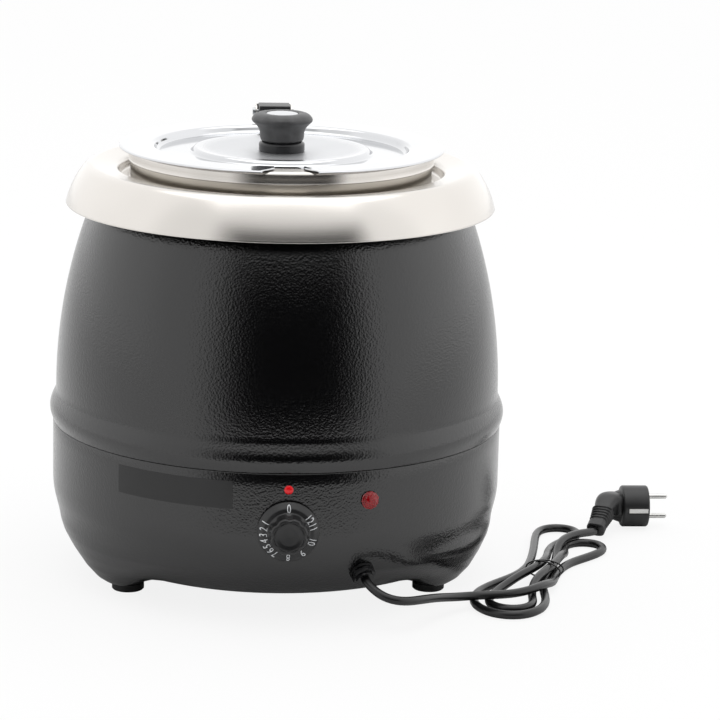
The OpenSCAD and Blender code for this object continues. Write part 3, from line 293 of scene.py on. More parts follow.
def tube(name, path, radius, sides=16, material=None, closedLoop=False, boxy=1.0, flat=1.0):
    # a ring of points round each path point, in the plane across the path; radius may change along it.
    # boxy below 1 squares the ring (a power of sine and cosine), and flat below 1 presses it
    p = np.asarray(path, float)
    radius = np.broadcast_to(np.asarray(radius, float), (len(p),))
    if closedLoop:
        d = np.roll(p, -1, 0) - np.roll(p, 1, 0)
    else:
        d = np.gradient(p, axis=0)
    d /= np.linalg.norm(d, axis=1)[:, None]
    up = np.where(np.abs(d[:, 2:3]) > 0.95, [[1.0, 0, 0]], [[0, 0, 1.0]])
    side = np.cross(d, up)
    side /= np.linalg.norm(side, axis=1)[:, None]
    lift = np.cross(side, d)
    t = fullTurn(sides)
    c = np.sign(np.cos(t)) * np.abs(np.cos(t)) ** boxy
    s = np.sign(np.sin(t)) * np.abs(np.sin(t)) ** boxy * flat
    ring = c[None, :, None] * side[:, None] + s[None, :, None] * lift[:, None]
    rings = p[:, None] + radius[:, None, None] * ring
    if not closedLoop:
        rings = np.concatenate([np.repeat(p[:1, None], sides, 1), rings, np.repeat(p[-1:, None], sides, 1)])
    return gridMesh(name, rings * mm, closedU=closedLoop, closedV=True, material=material)


def sheathMaterial():
    # extruded PVC sheath: smooth satin black with a waviness about 17 mm long
    # that breaks up its long highlight
    material, tree, shader = newMaterial("extrudedPvcSheath")
    where = addNode(tree, "ShaderNodeTexCoord")
    waves = addNode(tree, "ShaderNodeTexNoise", {"in:Scale": 60.0, "in:Detail": 2.0},
                    {"Vector": (where, "Object")})
    tone = addNode(tree, "ShaderNodeValToRGB", {"stops": ((0.0, "#080809"), (1.0, "#101011"))},
                   {"Fac": (waves, "Fac")})
    bump = addNode(tree, "ShaderNodeBump", {"in:Strength": 0.15, "in:Distance": 0.0004},
                   {"Height": (waves, "Fac")})
    setShader(shader, {"Roughness": 0.3, "IOR": 1.5},
              {"Base Color": (tone, "Color"), "Normal": (bump, "Normal")})
    return material


leadPath = smoothPath([lead["exit"]] + lead["points"] + [lead["plugEnd"]], lead["step"])
sheath = sheathMaterial()
leadTube = tube("mainsLead", leadPath, lead["diameter"] / 2, material=sheath)
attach(leadTube, "kettle")
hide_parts("power_cord", "cord_hank", "cord_tail")


# materials

def hammeredEnamel():
    # stove enamel sprayed to a hammered finish: dimples about 2 mm wide in a glossy black coat
    material, tree, shader = newMaterial("hammeredStoveEnamel")
    where = addNode(tree, "ShaderNodeTexCoord")
    dimples = addNode(tree, "ShaderNodeTexVoronoi",
                      {"feature": "SMOOTH_F1", "in:Scale": 520.0, "in:Smoothness": 0.6},
                      {"Vector": (where, "Object")})
    flow = addNode(tree, "ShaderNodeTexNoise", {"in:Scale": 900.0, "in:Detail": 3.0},
                   {"Vector": (where, "Object")})
    mixed = addNode(tree, "ShaderNodeMath", {"operation": "MULTIPLY_ADD", "in:1": 0.7},
                    {0: (flow, "Fac"), 2: (dimples, "Distance")})
    tone = addNode(tree, "ShaderNodeValToRGB", {"stops": ((0.3, "#030304"), (0.95, "#070708"))},
                   {"Fac": (mixed, "Value")})
    bump = addNode(tree, "ShaderNodeBump", {"in:Strength": 0.33, "in:Distance": 0.0005},
                   {"Height": (mixed, "Value")})
    setShader(shader, {"Roughness": 0.17, "IOR": 1.65},
              {"Base Color": (tone, "Color"), "Normal": (bump, "Normal")})
    return material


def metalSheet(name, dark, light, roughness, brushed=0.0, scale=8.0, across=0.0, dullMiddle=0.0):
    # bare metal: a slow change of tone over some centimetres, and fine lines where it was brushed or spun,
    # which smear a reflection across themselves
    material, tree, shader = newMaterial(name)
    where = addNode(tree, "ShaderNodeTexCoord")
    slow = addNode(tree, "ShaderNodeTexNoise", {"in:Scale": scale, "in:Detail": 2.0},
                   {"Vector": (where, "Object")})
    tone = addNode(tree, "ShaderNodeValToRGB", {"stops": ((0.35, dark), (0.65, light))},
                   {"Fac": (slow, "Fac")})
    setShader(shader, {"Metallic": 1.0, "Roughness": roughness}, {"Base Color": (tone, "Color")})
    if across:
        setShader(shader, {"Anisotropic": across, "Anisotropic Rotation": 0.25}, {})
    if brushed or dullMiddle:
        # distance from the kettle's axis, and height
        centred = addNode(tree, "ShaderNodeMapping", {"in:Location": tuple(-kettleAxis)},
                          {"Vector": (where, "Object")})
        split = addNode(tree, "ShaderNodeSeparateXYZ", None, {"Vector": (centred, "Vector")})
        flat = addNode(tree, "ShaderNodeVectorMath", {"operation": "MULTIPLY", "in:1": (1, 1, 0)},
                       {0: (centred, "Vector")})
        reach = addNode(tree, "ShaderNodeVectorMath", {"operation": "LENGTH"}, {0: (flat, "Vector")})
    if brushed:
        # rings about 0.7 mm apart; the real ones are finer than the picture shows
        lines = addNode(tree, "ShaderNodeCombineXYZ", None, {"X": (reach, "Value"), "Z": (split, "Z")})
        grain = addNode(tree, "ShaderNodeTexNoise", {"in:Scale": 1400.0, "in:Detail": 2.0},
                        {"Vector": (lines, "Vector")})
        bump = addNode(tree, "ShaderNodeBump", {"in:Strength": brushed, "in:Distance": 0.0001},
                       {"Height": (grain, "Fac")})
        tree.links.new(bump.outputs["Normal"], shader.inputs["Normal"])
    if dullMiddle:
        # hands and cloths have dulled the sheet round the knob, fading from 58 to 78 mm from the middle
        rubbed = addNode(tree, "ShaderNodeMapRange",
                         {"interpolation_type": "SMOOTHSTEP", "in:From Min": 0.058, "in:From Max": 0.078,
                          "in:To Min": dullMiddle, "in:To Max": roughness}, {"Value": (reach, "Value")})
        tree.links.new(rubbed.outputs["Result"], shader.inputs["Roughness"])
    return material


def mouldedPlastic(name, dark, light, roughness, grain=1200.0, bumpStrength=0.12):
    # moulded plastic: tool texture about a millimetre wide or finer, and tone that varies over 1 cm
    material, tree, shader = newMaterial(name)
    where = addNode(tree, "ShaderNodeTexCoord")
    texture = addNode(tree, "ShaderNodeTexNoise", {"in:Scale": grain, "in:Detail": 2.0},
                      {"Vector": (where, "Object")})
    blotch = addNode(tree, "ShaderNodeTexNoise", {"in:Scale": 90.0, "in:Detail": 3.0},
                     {"Vector": (where, "Object")})
    tone = addNode(tree, "ShaderNodeValToRGB", {"stops": ((0.35, dark), (0.65, light))},
                   {"Fac": (blotch, "Fac")})
    bump = addNode(tree, "ShaderNodeBump", {"in:Strength": bumpStrength, "in:Distance": 0.0002},
                   {"Height": (texture, "Fac")})
    setShader(shader, {"Roughness": roughness, "IOR": 1.5},
              {"Base Color": (tone, "Color"), "Normal": (bump, "Normal")})
    return material


def redLens(name, dark, light, transmission):
    # clear red moulding: light passes in and comes back deep red
    material, tree, shader = newMaterial(name)
    where = addNode(tree, "ShaderNodeTexCoord")
    cloud = addNode(tree, "ShaderNodeTexNoise", {"in:Scale": 250.0}, {"Vector": (where, "Object")})
    tone = addNode(tree, "ShaderNodeValToRGB", {"stops": ((0.0, dark), (1.0, light))},
                   {"Fac": (cloud, "Fac")})
    setShader(shader, {"Roughness": 0.12, "IOR": 1.49, "Transmission Weight": transmission},
              {"Base Color": (tone, "Color")})
    return material


# rolled, drawn or turned metals give long soft streaks; plated and cast ones scatter more, and moulded
# plastics show a broad dim highlight that sharpens as they get glossier
finishes = {
    "enamel": hammeredEnamel(),
    "polished": metalSheet("polishedStainlessSheet", "#cfcbc6", "#d7d3ce", 0.22, brushed=0.2, across=0.85),
    "mirror": metalSheet("mirrorStainlessLid", "#c5c6c8", "#cdced0", 0.09, dullMiddle=0.42),
    "drawn": metalSheet("drawnStainlessPot", "#b5afa6", "#c3beb5", 0.28, brushed=0.4),
    "zinc": metalSheet("zincPlatedSteel", "#a3a6a8", "#b9bbbc", 0.3, scale=120.0),
    "plate": metalSheet("zincPlatedPlate", "#8d9092", "#a7a9ab", 0.42, scale=25.0),
    "aluminium": metalSheet("castAluminium", "#a9abad", "#bdbfc0", 0.5, scale=60.0),
    "disc": metalSheet("turnedAluminiumDisc", "#c4c5c8", "#cfd0d2", 0.34),
    "element": metalSheet("heatTintedSteelTube", "#5d5650", "#7a7168", 0.45, scale=60.0),
    "copper": metalSheet("drawnCopperTube", "#b8744a", "#c98a5f", 0.3, scale=60.0),
    "brass": metalSheet("turnedBrass", "#b3914a", "#c7a75f", 0.3, scale=60.0),
    "contact": metalSheet("nickelPlatedContact", "#bdbdbb", "#cdccca", 0.22, scale=90.0),
    "rubber": mouldedPlastic("mouldedBlackRubber", "#0d0d0e", "#151516", 0.55, grain=900.0),
    "plug": mouldedPlastic("mouldedPvcPlug", "#111112", "#1b1b1c", 0.4, grain=1500.0),
    "gland": mouldedPlastic("mouldedNylonGland", "#08080a", "#0f0f10", 0.22, bumpStrength=0.06),
    "dial": mouldedPlastic("mouldedDialPlastic", "#121213", "#1b1b1c", 0.36, grain=2200.0, bumpStrength=0.08),
    "cap": mouldedPlastic("mouldedCapPlastic", "#141415", "#1c1c1d", 0.3, grain=2200.0, bumpStrength=0.05),
    "knob": mouldedPlastic("mouldedPhenolicKnob", "#3a3a3b", "#4a4a4b", 0.48, grain=900.0, bumpStrength=0.4),
    "knobBase": mouldedPlastic("mouldedPhenolicCollar", "#131315", "#1d1d1f", 0.3, grain=1500.0),
    "block": mouldedPlastic("mouldedPhenolicBlock", "#151516", "#212122", 0.36, grain=1500.0),
    "cream": mouldedPlastic("mouldedCreamPhenolic", "#c9c3b4", "#d8d3c6", 0.5),
    "silicone": mouldedPlastic("siliconeLead", "#7a4a30", "#8c5a3c", 0.55),
    "film": mouldedPlastic("polyesterLabelFilm", "#040405", "#080809", 0.2, bumpStrength=0.02),
    "digits": mouldedPlastic("printedWhiteInk", "#c9cbce", "#dddfe1", 0.5, bumpStrength=0.02),
    "lens": redLens("redLampLens", "#8a0610", "#be0e1c", 0.45),
    "marker": redLens("redMarkerButton", "#d60c16", "#e8161e", 0.0),
}

nodeFinish = {
    "base_plate": "plate", "element_clamp": "plate", "bulb_clip": "plate", "foot_screws": "zinc",
    "foot_nuts": "zinc", "ring_nuts": "zinc", "tie_rods": "zinc", "tie_nuts": "zinc", "clamp_nut": "zinc",
    "thermostat_screws": "zinc", "dial_shaft": "zinc", "dial_clip": "zinc", "bracket_rivets": "zinc",
    "hinge_pin": "zinc", "block_rivets": "zinc", "knob_screw": "zinc", "knob_washer": "zinc",
    "water_pan": "drawn", "hinge_bracket": "polished", "heater_plate": "aluminium",
    "heating_element": "element", "thermostat_body": "cream", "lamp_body": "cream", "lamp_nut": "cream",
    "terminal_block": "cream", "sensing_bulb": "copper", "earth_screw": "brass", "thermal_cutout": "block",
    "inner_leads": "silicone", "dial_marker": "marker",
    "bare_label": "film", "cord_gland": "gland", "gland_locknut": "gland",
    "plug_pins": "contact", "plug_earth_strips": "contact",
    "rubber_feet": "rubber",
}
for nodeName, finish in nodeFinish.items():
    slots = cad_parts[nodeName].data.materials
    for i in range(max(1, len(slots))):
        if len(slots):
            slots[i] = finishes[finish]
        else:
            slots.append(finishes[finish])
print("finishes ready:", len(finishes))


# base housing: wall, round and three pods that run down to the feet

housing = {"radius": 198.3, "roundZ": 85.0, "roundR": 73.2, "rimZ": 23.0, "sheet": 1.5, "floorZ": 26.0,
           "feet": (-60, 60, 180), "footCircle": 152.0, "podFoot": 18.0, "podBottom": 8.5,
           "dipFlat": 4.5, "dipFade": 13.0, "columns": 432,
           # height, then the pod's radius, its share and its half width in degrees
           "podOut": ((8.5, 172), (12.6, 178), (23, 187), (33.7, 191.6), (44, 194.6), (50, 195.6),
                      (58, 195.8), (66, 196), (85, 198)),
           "podShare": ((8.5, 1), (23, 1), (45, 1), (52, 0.95), (60, 0.5), (70, 0.08), (85, 0)),
           "podWidth": ((8.5, 12), (23, 22), (45, 38), (60, 36), (85, 30)),
           "wallRows": (98, 112, 125, 136.2),
           "spigot": ((197.9, 137.0), (196.2, 137.0), (196.2, 144.2), (195.6, 145.0), (194.7, 144.6),
                      (194.7, 135.5), (196.8, 134.5), (196.8, 110), (196.8, 85)),
           "lip": ((149.2, 26.0), (149.0, 24.6), (150.0, 24.55))}


def housingSurface(h):
    # radius as a function of angle and height: wall and round, raised by pods whose share fades
    # smoothly with the angle from each foot and with height; the rim dips to the pod's foot the same way
    angle = np.linspace(0, 360, h["columns"], endpoint=False)
    off = np.min([np.abs((angle - (az - 90) + 180) % 360 - 180) for az in h["feet"]], axis=0)
    dip = 1 - smoothStep((off - h["dipFlat"]) / h["dipFade"])
    bottom = h["rimZ"] - (h["rimZ"] - h["podBottom"]) * dip
    axisR = h["radius"] - h["roundR"]
    rimR = axisR + math.sqrt(h["roundR"] ** 2 - (h["roundZ"] - h["rimZ"]) ** 2)
    # heights run from the bottom edge up to the start of the straight wall, closer together low down
    z = bottom + (h["roundZ"] - bottom) * np.linspace(0, 1, 46)[:, None] ** 1.15
    base = axisR + np.sqrt(h["roundR"] ** 2 - (h["roundZ"] - np.maximum(z, h["rimZ"])) ** 2)
    podR, share, width = (np.interp(z, *zip(*h[key])) for key in ("podOut", "podShare", "podWidth"))
    spread = np.cos(np.clip(off / width, 0, 1) * np.pi / 2) ** 1.3
    r = base + np.maximum(podR - base, 0) * share * spread
    wall = np.stack([r, z], -1)
    top = np.array([(h["radius"], row) for row in h["wallRows"]] + list(h["spigot"]))
    top = np.repeat(top[:, None], h["columns"], 1)
    # inside of the round, then a lip that only exists where there is no pod, then the pod's flat foot
    edge = rimR - h["sheet"] - (rimR - h["sheet"] - (h["footCircle"] - h["podFoot"])) * dip
    zi = h["roundZ"] - (h["roundZ"] - h["floorZ"]) * np.linspace(0, 1, 16)[:, None]
    rise = h["roundZ"] - np.maximum(zi, h["floorZ"])
    ri = axisR + np.sqrt((h["roundR"] - h["sheet"]) ** 2 - rise ** 2)
    inner = np.stack([ri + 0 * off, zi + 0 * off], -1)
    lip = np.repeat(np.array(h["lip"])[:, None], h["columns"], 1)
    lip[..., 0] = np.minimum(lip[..., 0], edge - 0.2)
    under = h["lip"][-1][1] + 0 * off
    seat = np.stack([np.stack(pair, -1) for pair in
                     ((edge - 0.1, under), (edge, bottom + 1.4), (edge, bottom), (edge + 0.4, bottom))])
    profile = np.concatenate([wall, top, inner, lip, seat])
    points = around(profile[..., 0], np.radians(angle), profile[..., 1])
    return gridMesh("baseHousing", points * mm, closedU=True, closedV=True, material=finishes["enamel"])


baseHousing = housingSurface(housing)
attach(baseHousing, "kettle")
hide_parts("base_shell")
print("base housing made")


# body: rolled bead at the foot, then the barrel up to the lip under the ring

barrel = {"foot": 137.0, "beadTop": 163.0, "beadOut": 3.8, "widest": 195.7, "widestZ": 165.0,
          "curve": 454.0, "top": 347.5, "lip": 11, "sheet": 1.5}


def barrelRadius(b, z):
    # a circle of the curve's radius whose outermost point is at the widest height
    return b["widest"] - b["curve"] + np.sqrt(b["curve"] ** 2 - (z - b["widestZ"]) ** 2)


def bodyProfile(b):
    # bead: half a sine wave laid over the line from seam to barrel; barrel: one large arc
    t = np.linspace(0, 1, 25)
    zb = b["foot"] + t * (b["beadTop"] - b["foot"])
    start = housing["radius"]
    swell = b["beadOut"] * np.sin(np.pi * t ** 0.9) ** 1.3
    rb = start + (barrelRadius(b, b["beadTop"]) - start) * t + swell
    rb[0] -= 0.25
    z = np.linspace(b["beadTop"], b["top"] - 4, 40)[1:]
    r = barrelRadius(b, z)
    shoulder = arc(r[-1] - 4, b["top"] - 4, 4, 25, 90, 6)
    outer = np.vstack([np.stack([rb, zb], -1), np.stack([r, z], -1), shoulder,
                       [[shoulder[-1, 0] - b["lip"], b["top"]]]])
    inner = insideOf(outer, b["sheet"])
    inner[0, 1] = b["foot"]
    inner[-1, 1] = b["top"] - b["sheet"]
    return np.vstack([outer, inner[::-1]])


body = revolve("bodyBarrel", bodyProfile(barrel), 240, material=finishes["enamel"])
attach(body, "kettle")
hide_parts("body_shell")


# polished ring round the well

ring = {"hemR": 187.5, "hemZ": 329.0, "hemAngle": 13, "shoulderAngle": 38, "curves": (76.5, 12.0, 5.0),
        "fall": 8.0, "well": 141.5, "ledge": 128.0, "ledgeZ": 349.9, "sheet": 1.2}


def ringProfile(g):
    # arcs for the hem and the shoulder, a straight top that falls to the well, a roll into the well,
    # the well wall, the ledge and its short neck
    a, b, c = g["curves"]
    fall = math.radians(g["fall"])
    hemAngle, shoulderAngle = math.radians(g["hemAngle"]), math.radians(g["shoulderAngle"])
    ca = np.array([g["hemR"] - a * math.cos(hemAngle), g["hemZ"] - a * math.sin(hemAngle)])
    cb = ca + (a - b) * np.array([math.cos(shoulderAngle), math.sin(shoulderAngle)])
    crest = cb + b * np.array([-math.sin(fall), math.cos(fall)])
    reach = crest[0] - g["well"] - c * (1 - math.sin(fall))
    well, ledge, z = g["well"], g["ledge"], g["ledgeZ"]
    cc = np.array([well + c, crest[1] - c * math.cos(fall) - reach * math.tan(fall)])
    hem = arc(g["hemR"] - 1.1, g["hemZ"] + 0.6, 1.1, -90, -12, 4)
    tail = np.array([[well, cc[1] - 1], [well, z + 1.5], [well - 1.5, z], [ledge + 1, z], [ledge, z - 1],
                     [ledge, z - 5]])
    outer = np.vstack([hem, arc(ca[0], ca[1], a, 14, 38, 14), arc(cb[0], cb[1], b, 42, 90 + g["fall"], 14),
                       arc(cc[0], cc[1], c, 90 + g["fall"], 172, 8), tail])
    outer = finer(outer, 6.0)
    return np.vstack([outer, insideOf(outer, g["sheet"])[::-1]])


topRing = revolve("topRing", ringProfile(ring), 288, material=finishes["polished"])
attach(topRing, "kettle")
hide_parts("top_ring")


# inset pot

pot = {"neck": 131.5, "wall": 124.0, "shoulder": 350.2, "rim": 377.9, "floor": 156.9, "corner": 22.0,
       "sheet": 1.2}


def potProfile(p):
    # outside from the middle of the floor up to the rolled rim, then the inside back down
    neck, wall, shoulder, rim, corner, t = (p[key] for key in
                                            ("neck", "wall", "shoulder", "rim", "corner", "sheet"))
    low = p["floor"] + corner
    outer = np.vstack([[[pole, p["floor"]]], arc(wall - corner, low, corner, -90, 0, 12),
                       [[wall, shoulder - 2], [wall + 1.5, shoulder], [neck - 1.5, shoulder],
                        [neck, shoulder + 1.5], [neck, rim - 4]]])
    roll = arc(neck - 2.1, rim - 2.0, 2.0, 0, 250, 14)
    inner = np.vstack([[[neck - t, rim - 5], [neck - t, shoulder + 2.5], [neck - 3, shoulder + t],
                        [wall + 0.8, shoulder + t], [wall - t, shoulder - 2]],
                       arc(wall - corner, low, corner - t, 0, -90, 12), [[pole, p["floor"] + t]]])
    return finer(np.vstack([outer, roll, inner]), 14.0)


insetPot = revolve("insetPot", potProfile(pot), 192, closed=False, material=finishes["drawn"])
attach(insetPot, "pot")
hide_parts("inset_pot")


# lid collar

collar = {"outer": 133.2, "mouth": 111.6, "top": 378.3, "skirt": 10.3, "shoulder": 3.2, "sheet": 1.0}


def collarProfile(c):
    # skirt with a rolled hem, rounded shoulder, flat crown and a turned-down mouth
    r, mouth, top, bend, t = c["outer"], c["mouth"], c["top"], c["shoulder"], c["sheet"]
    foot = top - c["skirt"]
    outer = np.vstack([arc(r - 0.3, foot, 0.7, -170, 40, 10), [[r, foot + 1.4], [r, top - bend]],
                       arc(r - bend, top - bend, bend, 12, 90, 7), [[mouth + 2.2, top]],
                       arc(mouth + 1.6, top - 1.6, 1.6, 96, 180, 5)])
    inner = np.vstack([[[mouth + t, top - 1.7], [mouth + 2.4, top - t], [r - bend, top - t]],
                       arc(r - bend, top - bend, bend - t, 80, 0, 5), [[r - t, foot + 1.2]]])
    return finer(np.vstack([outer, inner]), 5.0)


lidCollar = revolve("lidCollar", collarProfile(collar), 240, material=finishes["polished"])
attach(lidCollar, "collar")
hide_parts("lid_collar")
print("ring, pot and collar made")


# lid with its ladle notch

lidShape = {"edge": 141.7, "top": 380.3, "hem": 1.5, "step": 110.6, "panel": 373.8, "disc": 77.0,
            "discZ": 378.2, "seat": 375.2, "sheet": 0.7, "notch": 12.5, "mouth": 23.5, "back": 79.4,
            "backRound": 4.0, "flare": 122.0, "columns": 300}


def lidSurface(s):
    # height as a function of distance from the middle; beyond the notch's back edge every row spans the
    # angle that the notch leaves, whose half width grows as a raised cosine towards the lid's edge
    disc, high, step, low, edge, top = (s[key] for key in ("disc", "discZ", "step", "panel", "edge", "top"))
    knots = np.array([[0, s["seat"]], [disc * 0.33, s["seat"]], [disc - 6, high - 0.25], [disc - 2, high],
                      [disc, high - 1.2], [disc + 1.4, low + 0.7], [disc + 3.2, low], [step - 3.4, low],
                      [step - 1.1, low + 1.4], [step + 0.2, top - 1.4], [step + 2.4, top], [edge - 1.4, top],
                      [edge - 0.3, top - 0.4], [edge, top - 0.9], [edge, top - s["hem"]]])
    line = finer(roundCorners(knots, 1.6, 4), 3.0)
    line = line[np.r_[True, np.linalg.norm(np.diff(line, axis=0), axis=1) > 1e-6]]
    inside, outside = line[line[:, 0] < s["back"]], line[line[:, 0] >= s["back"]]
    outside = np.vstack([[[s["back"], np.interp(s["back"], line[:, 0], line[:, 1])]], outside])
    r = outside[:, 0]
    grow = 0.5 - 0.5 * np.cos(np.pi * np.clip((r - s["flare"]) / (edge - s["flare"]), 0, 1))
    half = np.arcsin((s["notch"] + (s["mouth"] - s["notch"]) * grow) / r)
    # the corners at the notch's back are rounded by a quarter of an ellipse
    corner = 1 - np.clip(1 - (r - s["back"]) / s["backRound"], 0, 1) ** 2
    half *= np.sqrt(np.clip(corner, 0.0, 1)) * 0.35 + 0.65
    u = np.linspace(0, 1, s["columns"])
    theta = -np.pi / 2 + half[:, None] + (2 * np.pi - 2 * half[:, None]) * u
    outer = around(r[:, None], theta, outside[:, 1][:, None])
    # the round part inside the notch has the same columns and twelve more across the gap
    gap = np.linspace(theta[0, -1], theta[0, 0] + 2 * np.pi, 14)[1:-1]
    full = np.r_[theta[0], gap]
    rows = around(inside[:, 0][:, None], full, inside[:, 1][:, None])
    inner = np.concatenate([rows, around(r[0], full, outside[0, 1])[None]])
    index = np.arange(inner.shape[0] * inner.shape[1]).reshape(inner.shape[:2])
    facesIn = gridFaces(np.hstack([index, index[:, :1]]))
    rest = outer[1:]
    more = index.size + np.arange(rest.shape[0] * s["columns"]).reshape(-1, s["columns"])
    facesOut = gridFaces(np.vstack([index[-1:, :s["columns"]], more]))
    verts = np.vstack([inner.reshape(-1, 3), rest.reshape(-1, 3)]) * mm
    piece = meshFrom("lidPanel", verts, np.vstack([facesIn, facesOut]), finishes["mirror"])
    if piece.data.polygons[len(piece.data.polygons) // 2].normal.z < 0:
        piece.data.flip_normals()
    wall = piece.modifiers.new("sheet", "SOLIDIFY")
    wall.thickness = s["sheet"] * mm
    wall.offset = -1
    return piece


lidPanel = lidSurface(lidShape)
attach(lidPanel, "lid")
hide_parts("lid")


hingeBlock = {"width": 28.4, "front": 120.0, "axis": (142.0, 388.3), "rise": 8.0, "bottom": 380.3,
              "edge": 0.9, "split": 50}


def blockSurface(h):
    # outline in the plane of Y and height: flat below, in front and on top, half round about the pin;
    # it is carried across X, drawn in by the edge size at both ends, and each end closes to its middle
    y0, z0 = h["axis"]
    front, bottom, edge, half = h["front"], h["bottom"] + 0.35, h["edge"], h["width"] / 2
    top = h["bottom"] + 2 * h["rise"]
    nose = np.array([[y0 - 4.5, bottom], [front, bottom], [front, top], [y0 - 1, top]])
    outline = np.vstack([roundCorners(nose, 1.4, 5), arc(y0, z0, h["rise"], 90, -62, 18)])
    middle = np.array([y0 - 6, z0])
    away = outline - middle
    length = np.linalg.norm(away, axis=1)[:, None]
    ends = [(half, 20), (half, edge), (half - edge * 0.3, edge * 0.3), (half - edge, 0)]
    rows = []
    for x, inset in [(-x, inset) for x, inset in ends] + ends[::-1]:
        line = middle + away * np.maximum(length - inset, pole) / length
        rows.append(np.column_stack([np.full(len(line), x), line]))
    return gridMesh("hingeBlock", np.array(rows) * mm, closedV=True, material=finishes["block"])


hingePiece = blockSurface(hingeBlock)
sharp = hingePiece.modifiers.new("edges", "EDGE_SPLIT")
sharp.split_angle = math.radians(hingeBlock["split"])
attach(hingePiece, "lid")
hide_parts("hinge_block")


# knob, its collar and the metal disc in its top

knob = {"seat": 375.2, "collarR": 20.0, "collarH": 8.5, "wide": 26.7, "tall": 25.0, "disc": 14.0}


def knobParts(k):
    # three turned profiles: the low collar, the knob with its waist and soft rim, and the disc sunk in it
    z0 = k["seat"]
    z1 = z0 + k["collarH"]
    low = np.array([[pole, z0], [k["collarR"], z0], [k["collarR"], z1 - 1.6], [k["collarR"] - 2.2, z1],
                    [pole, z1]])
    w, top, disc = k["wide"], z1 + k["tall"], k["disc"]
    high = np.array([[pole, z1], [17.0, z1], [18.6, z1 + 1.4], [19.3, z1 + 4], [19.4, z1 + 8],
                     [20.6, z1 + 11.5], [w - 3.2, z1 + 15], [w - 0.5, top - 7.5], [w, top - 6.2],
                     [w - 0.4, top - 4.4], [w - 2.6, top - 1.8], [w - 5.5, top - 0.4], [disc + 4, top],
                     [disc + 0.2, top - 0.4], [disc, top - 2.0], [pole, top - 2.2]])
    z2, r = top - 2.1, disc - 0.1
    sunk = np.array([[pole, z2], [r, z2], [r, z2 + 1.2], [disc - 1.3, z2 + 1.7], [pole, z2 + 1.9]])
    return (revolve("knobCollar", roundCorners(low, 1.2, 4), 96, False, finishes["knobBase"]),
            revolve("lidKnob", roundCorners(high, 2.2, 6), 96, False, finishes["knob"]),
            revolve("knobDisc", roundCorners(sunk, 0.6, 3), 96, False, finishes["disc"]))


for piece, nodeName, slotName in zip(knobParts(knob), ("knob_collar", "lid_knob", "knob_insert"),
                                     ("knob_phenolic", "knob_phenolic", "insert_aluminium")):
    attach(piece, "lid")
    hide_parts(nodeName)
print("lid and knob made")


# dial with its printed numbers

dial = {"centre": (0.0, -198.3, 88.0), "back": 1.4, "skirt": 26.0, "skirtH": 6.0, "bevel": 4.8, "edge": 1.6,
        "grip": 17.0, "gripH": 12.0, "flutes": 8, "fluteDeep": 1.3, "columns": 288,
        "capOutline": ((pole, 16.5), (12.4, 16.5), (12.4, 17.9), (11.0, 17.9), (8.0, 17.2), (pole, 17.0)),
        "numberR": 20.6, "numberSize": 9.6, "numberWidth": 0.72, "inkProud": 0.1,
        "numbers": {"0": 0, "1": 65, "2": 80, "3": 94, "4": 108, "5": 122, "6": 135, "7": 148, "8": 180,
                    "9": 215, "10": 250, "11": 285, "12": 305}}


def dialKnob(d):
    # grip radius dips by a raised cosine at every flute; the dip fades out at the skirt
    skirt, low, g = d["skirt"], d["skirtH"], d["grip"]
    top = low + d["gripH"]
    outline = np.array([[pole, 3.2], [skirt - 2.5, 3.2], [skirt - 2.5, 0.0], [skirt, 0.0], [skirt, d["edge"]],
                        [skirt - d["bevel"], low], [g + 0.8, low + 0.5], [g, low + 2.2], [g - 1.0, top - 1.4],
                        [g - 2.4, top], [g - 4.4, top], [g - 4.6, top - 1.2], [pole, top - 1.4]])
    outline = finer(roundCorners(outline, 0.9, 4), 1.6)
    t = fullTurn(d["columns"])
    r, h = outline[:, 0][:, None], outline[:, 1][:, None]
    dip = np.clip(np.cos(t * d["flutes"]) * 0.5 + 0.5, 0, 1) ** 2.5
    deep = d["fluteDeep"] * smoothStep((h - low - 0.8) / 3.0) * (r > g - 4.3)
    rr = r - deep * dip
    cx, cy, cz = d["centre"]
    points = np.stack([cx + rr * np.cos(t), cy - d["back"] - h + 0 * t, cz + rr * np.sin(t)], -1)
    return gridMesh("dialKnob", points * mm, closedV=True, material=finishes["dial"])


def dialNumbers(d):
    # each number lies on the skirt: its points are spread round the dial, and their height follows the
    # skirt's cone and step at their own radius
    pieces = []
    cx, cy, cz = d["centre"]
    for text, angle in d["numbers"].items():
        curve = bpy.data.curves.new("number" + text, "FONT")
        curve.body = text
        curve.size = d["numberSize"]
        curve.align_x = "CENTER"
        curve.align_y = "CENTER"
        thing = newObject("number" + text, curve)
        bpy.context.view_layer.update()
        mesh = bpy.data.meshes.new_from_object(thing.evaluated_get(bpy.context.evaluated_depsgraph_get()))
        bpy.data.objects.remove(thing)
        bm = bmesh.new()
        bm.from_mesh(mesh)
        bmesh.ops.triangulate(bm, faces=bm.faces)
        bmesh.ops.subdivide_edges(bm, edges=bm.edges, cuts=3, use_grid_fill=True)
        bm.to_mesh(mesh)
        bm.free()
        v = np.empty(len(mesh.vertices) * 3)
        mesh.vertices.foreach_get("co", v)
        v = v.reshape(-1, 3)
        side, r = v[:, 0] * d["numberWidth"], d["numberR"] + v[:, 1]
        radius = np.hypot(side, r)
        out = np.interp(radius, [d["grip"] + 0.8, d["skirt"] - d["bevel"], d["skirt"]],
                        [d["skirtH"] + 0.5, d["skirtH"], d["edge"]])
        out = d["back"] + out + d["inkProud"]
        a = math.radians(angle)
        x = cx - r * math.sin(a) + side * math.cos(a)
        z = cz + r * math.cos(a) + side * math.sin(a)
        placed = np.stack([x, cy - out, z], -1) * mm + kettleAxis
        mesh.vertices.foreach_set("co", placed.ravel())
        mesh.materials.clear()
        mesh.materials.append(finishes["digits"])
        pieces.append(newObject("dialNumber" + text, mesh))
    return joinPieces("dialNumbers", pieces)


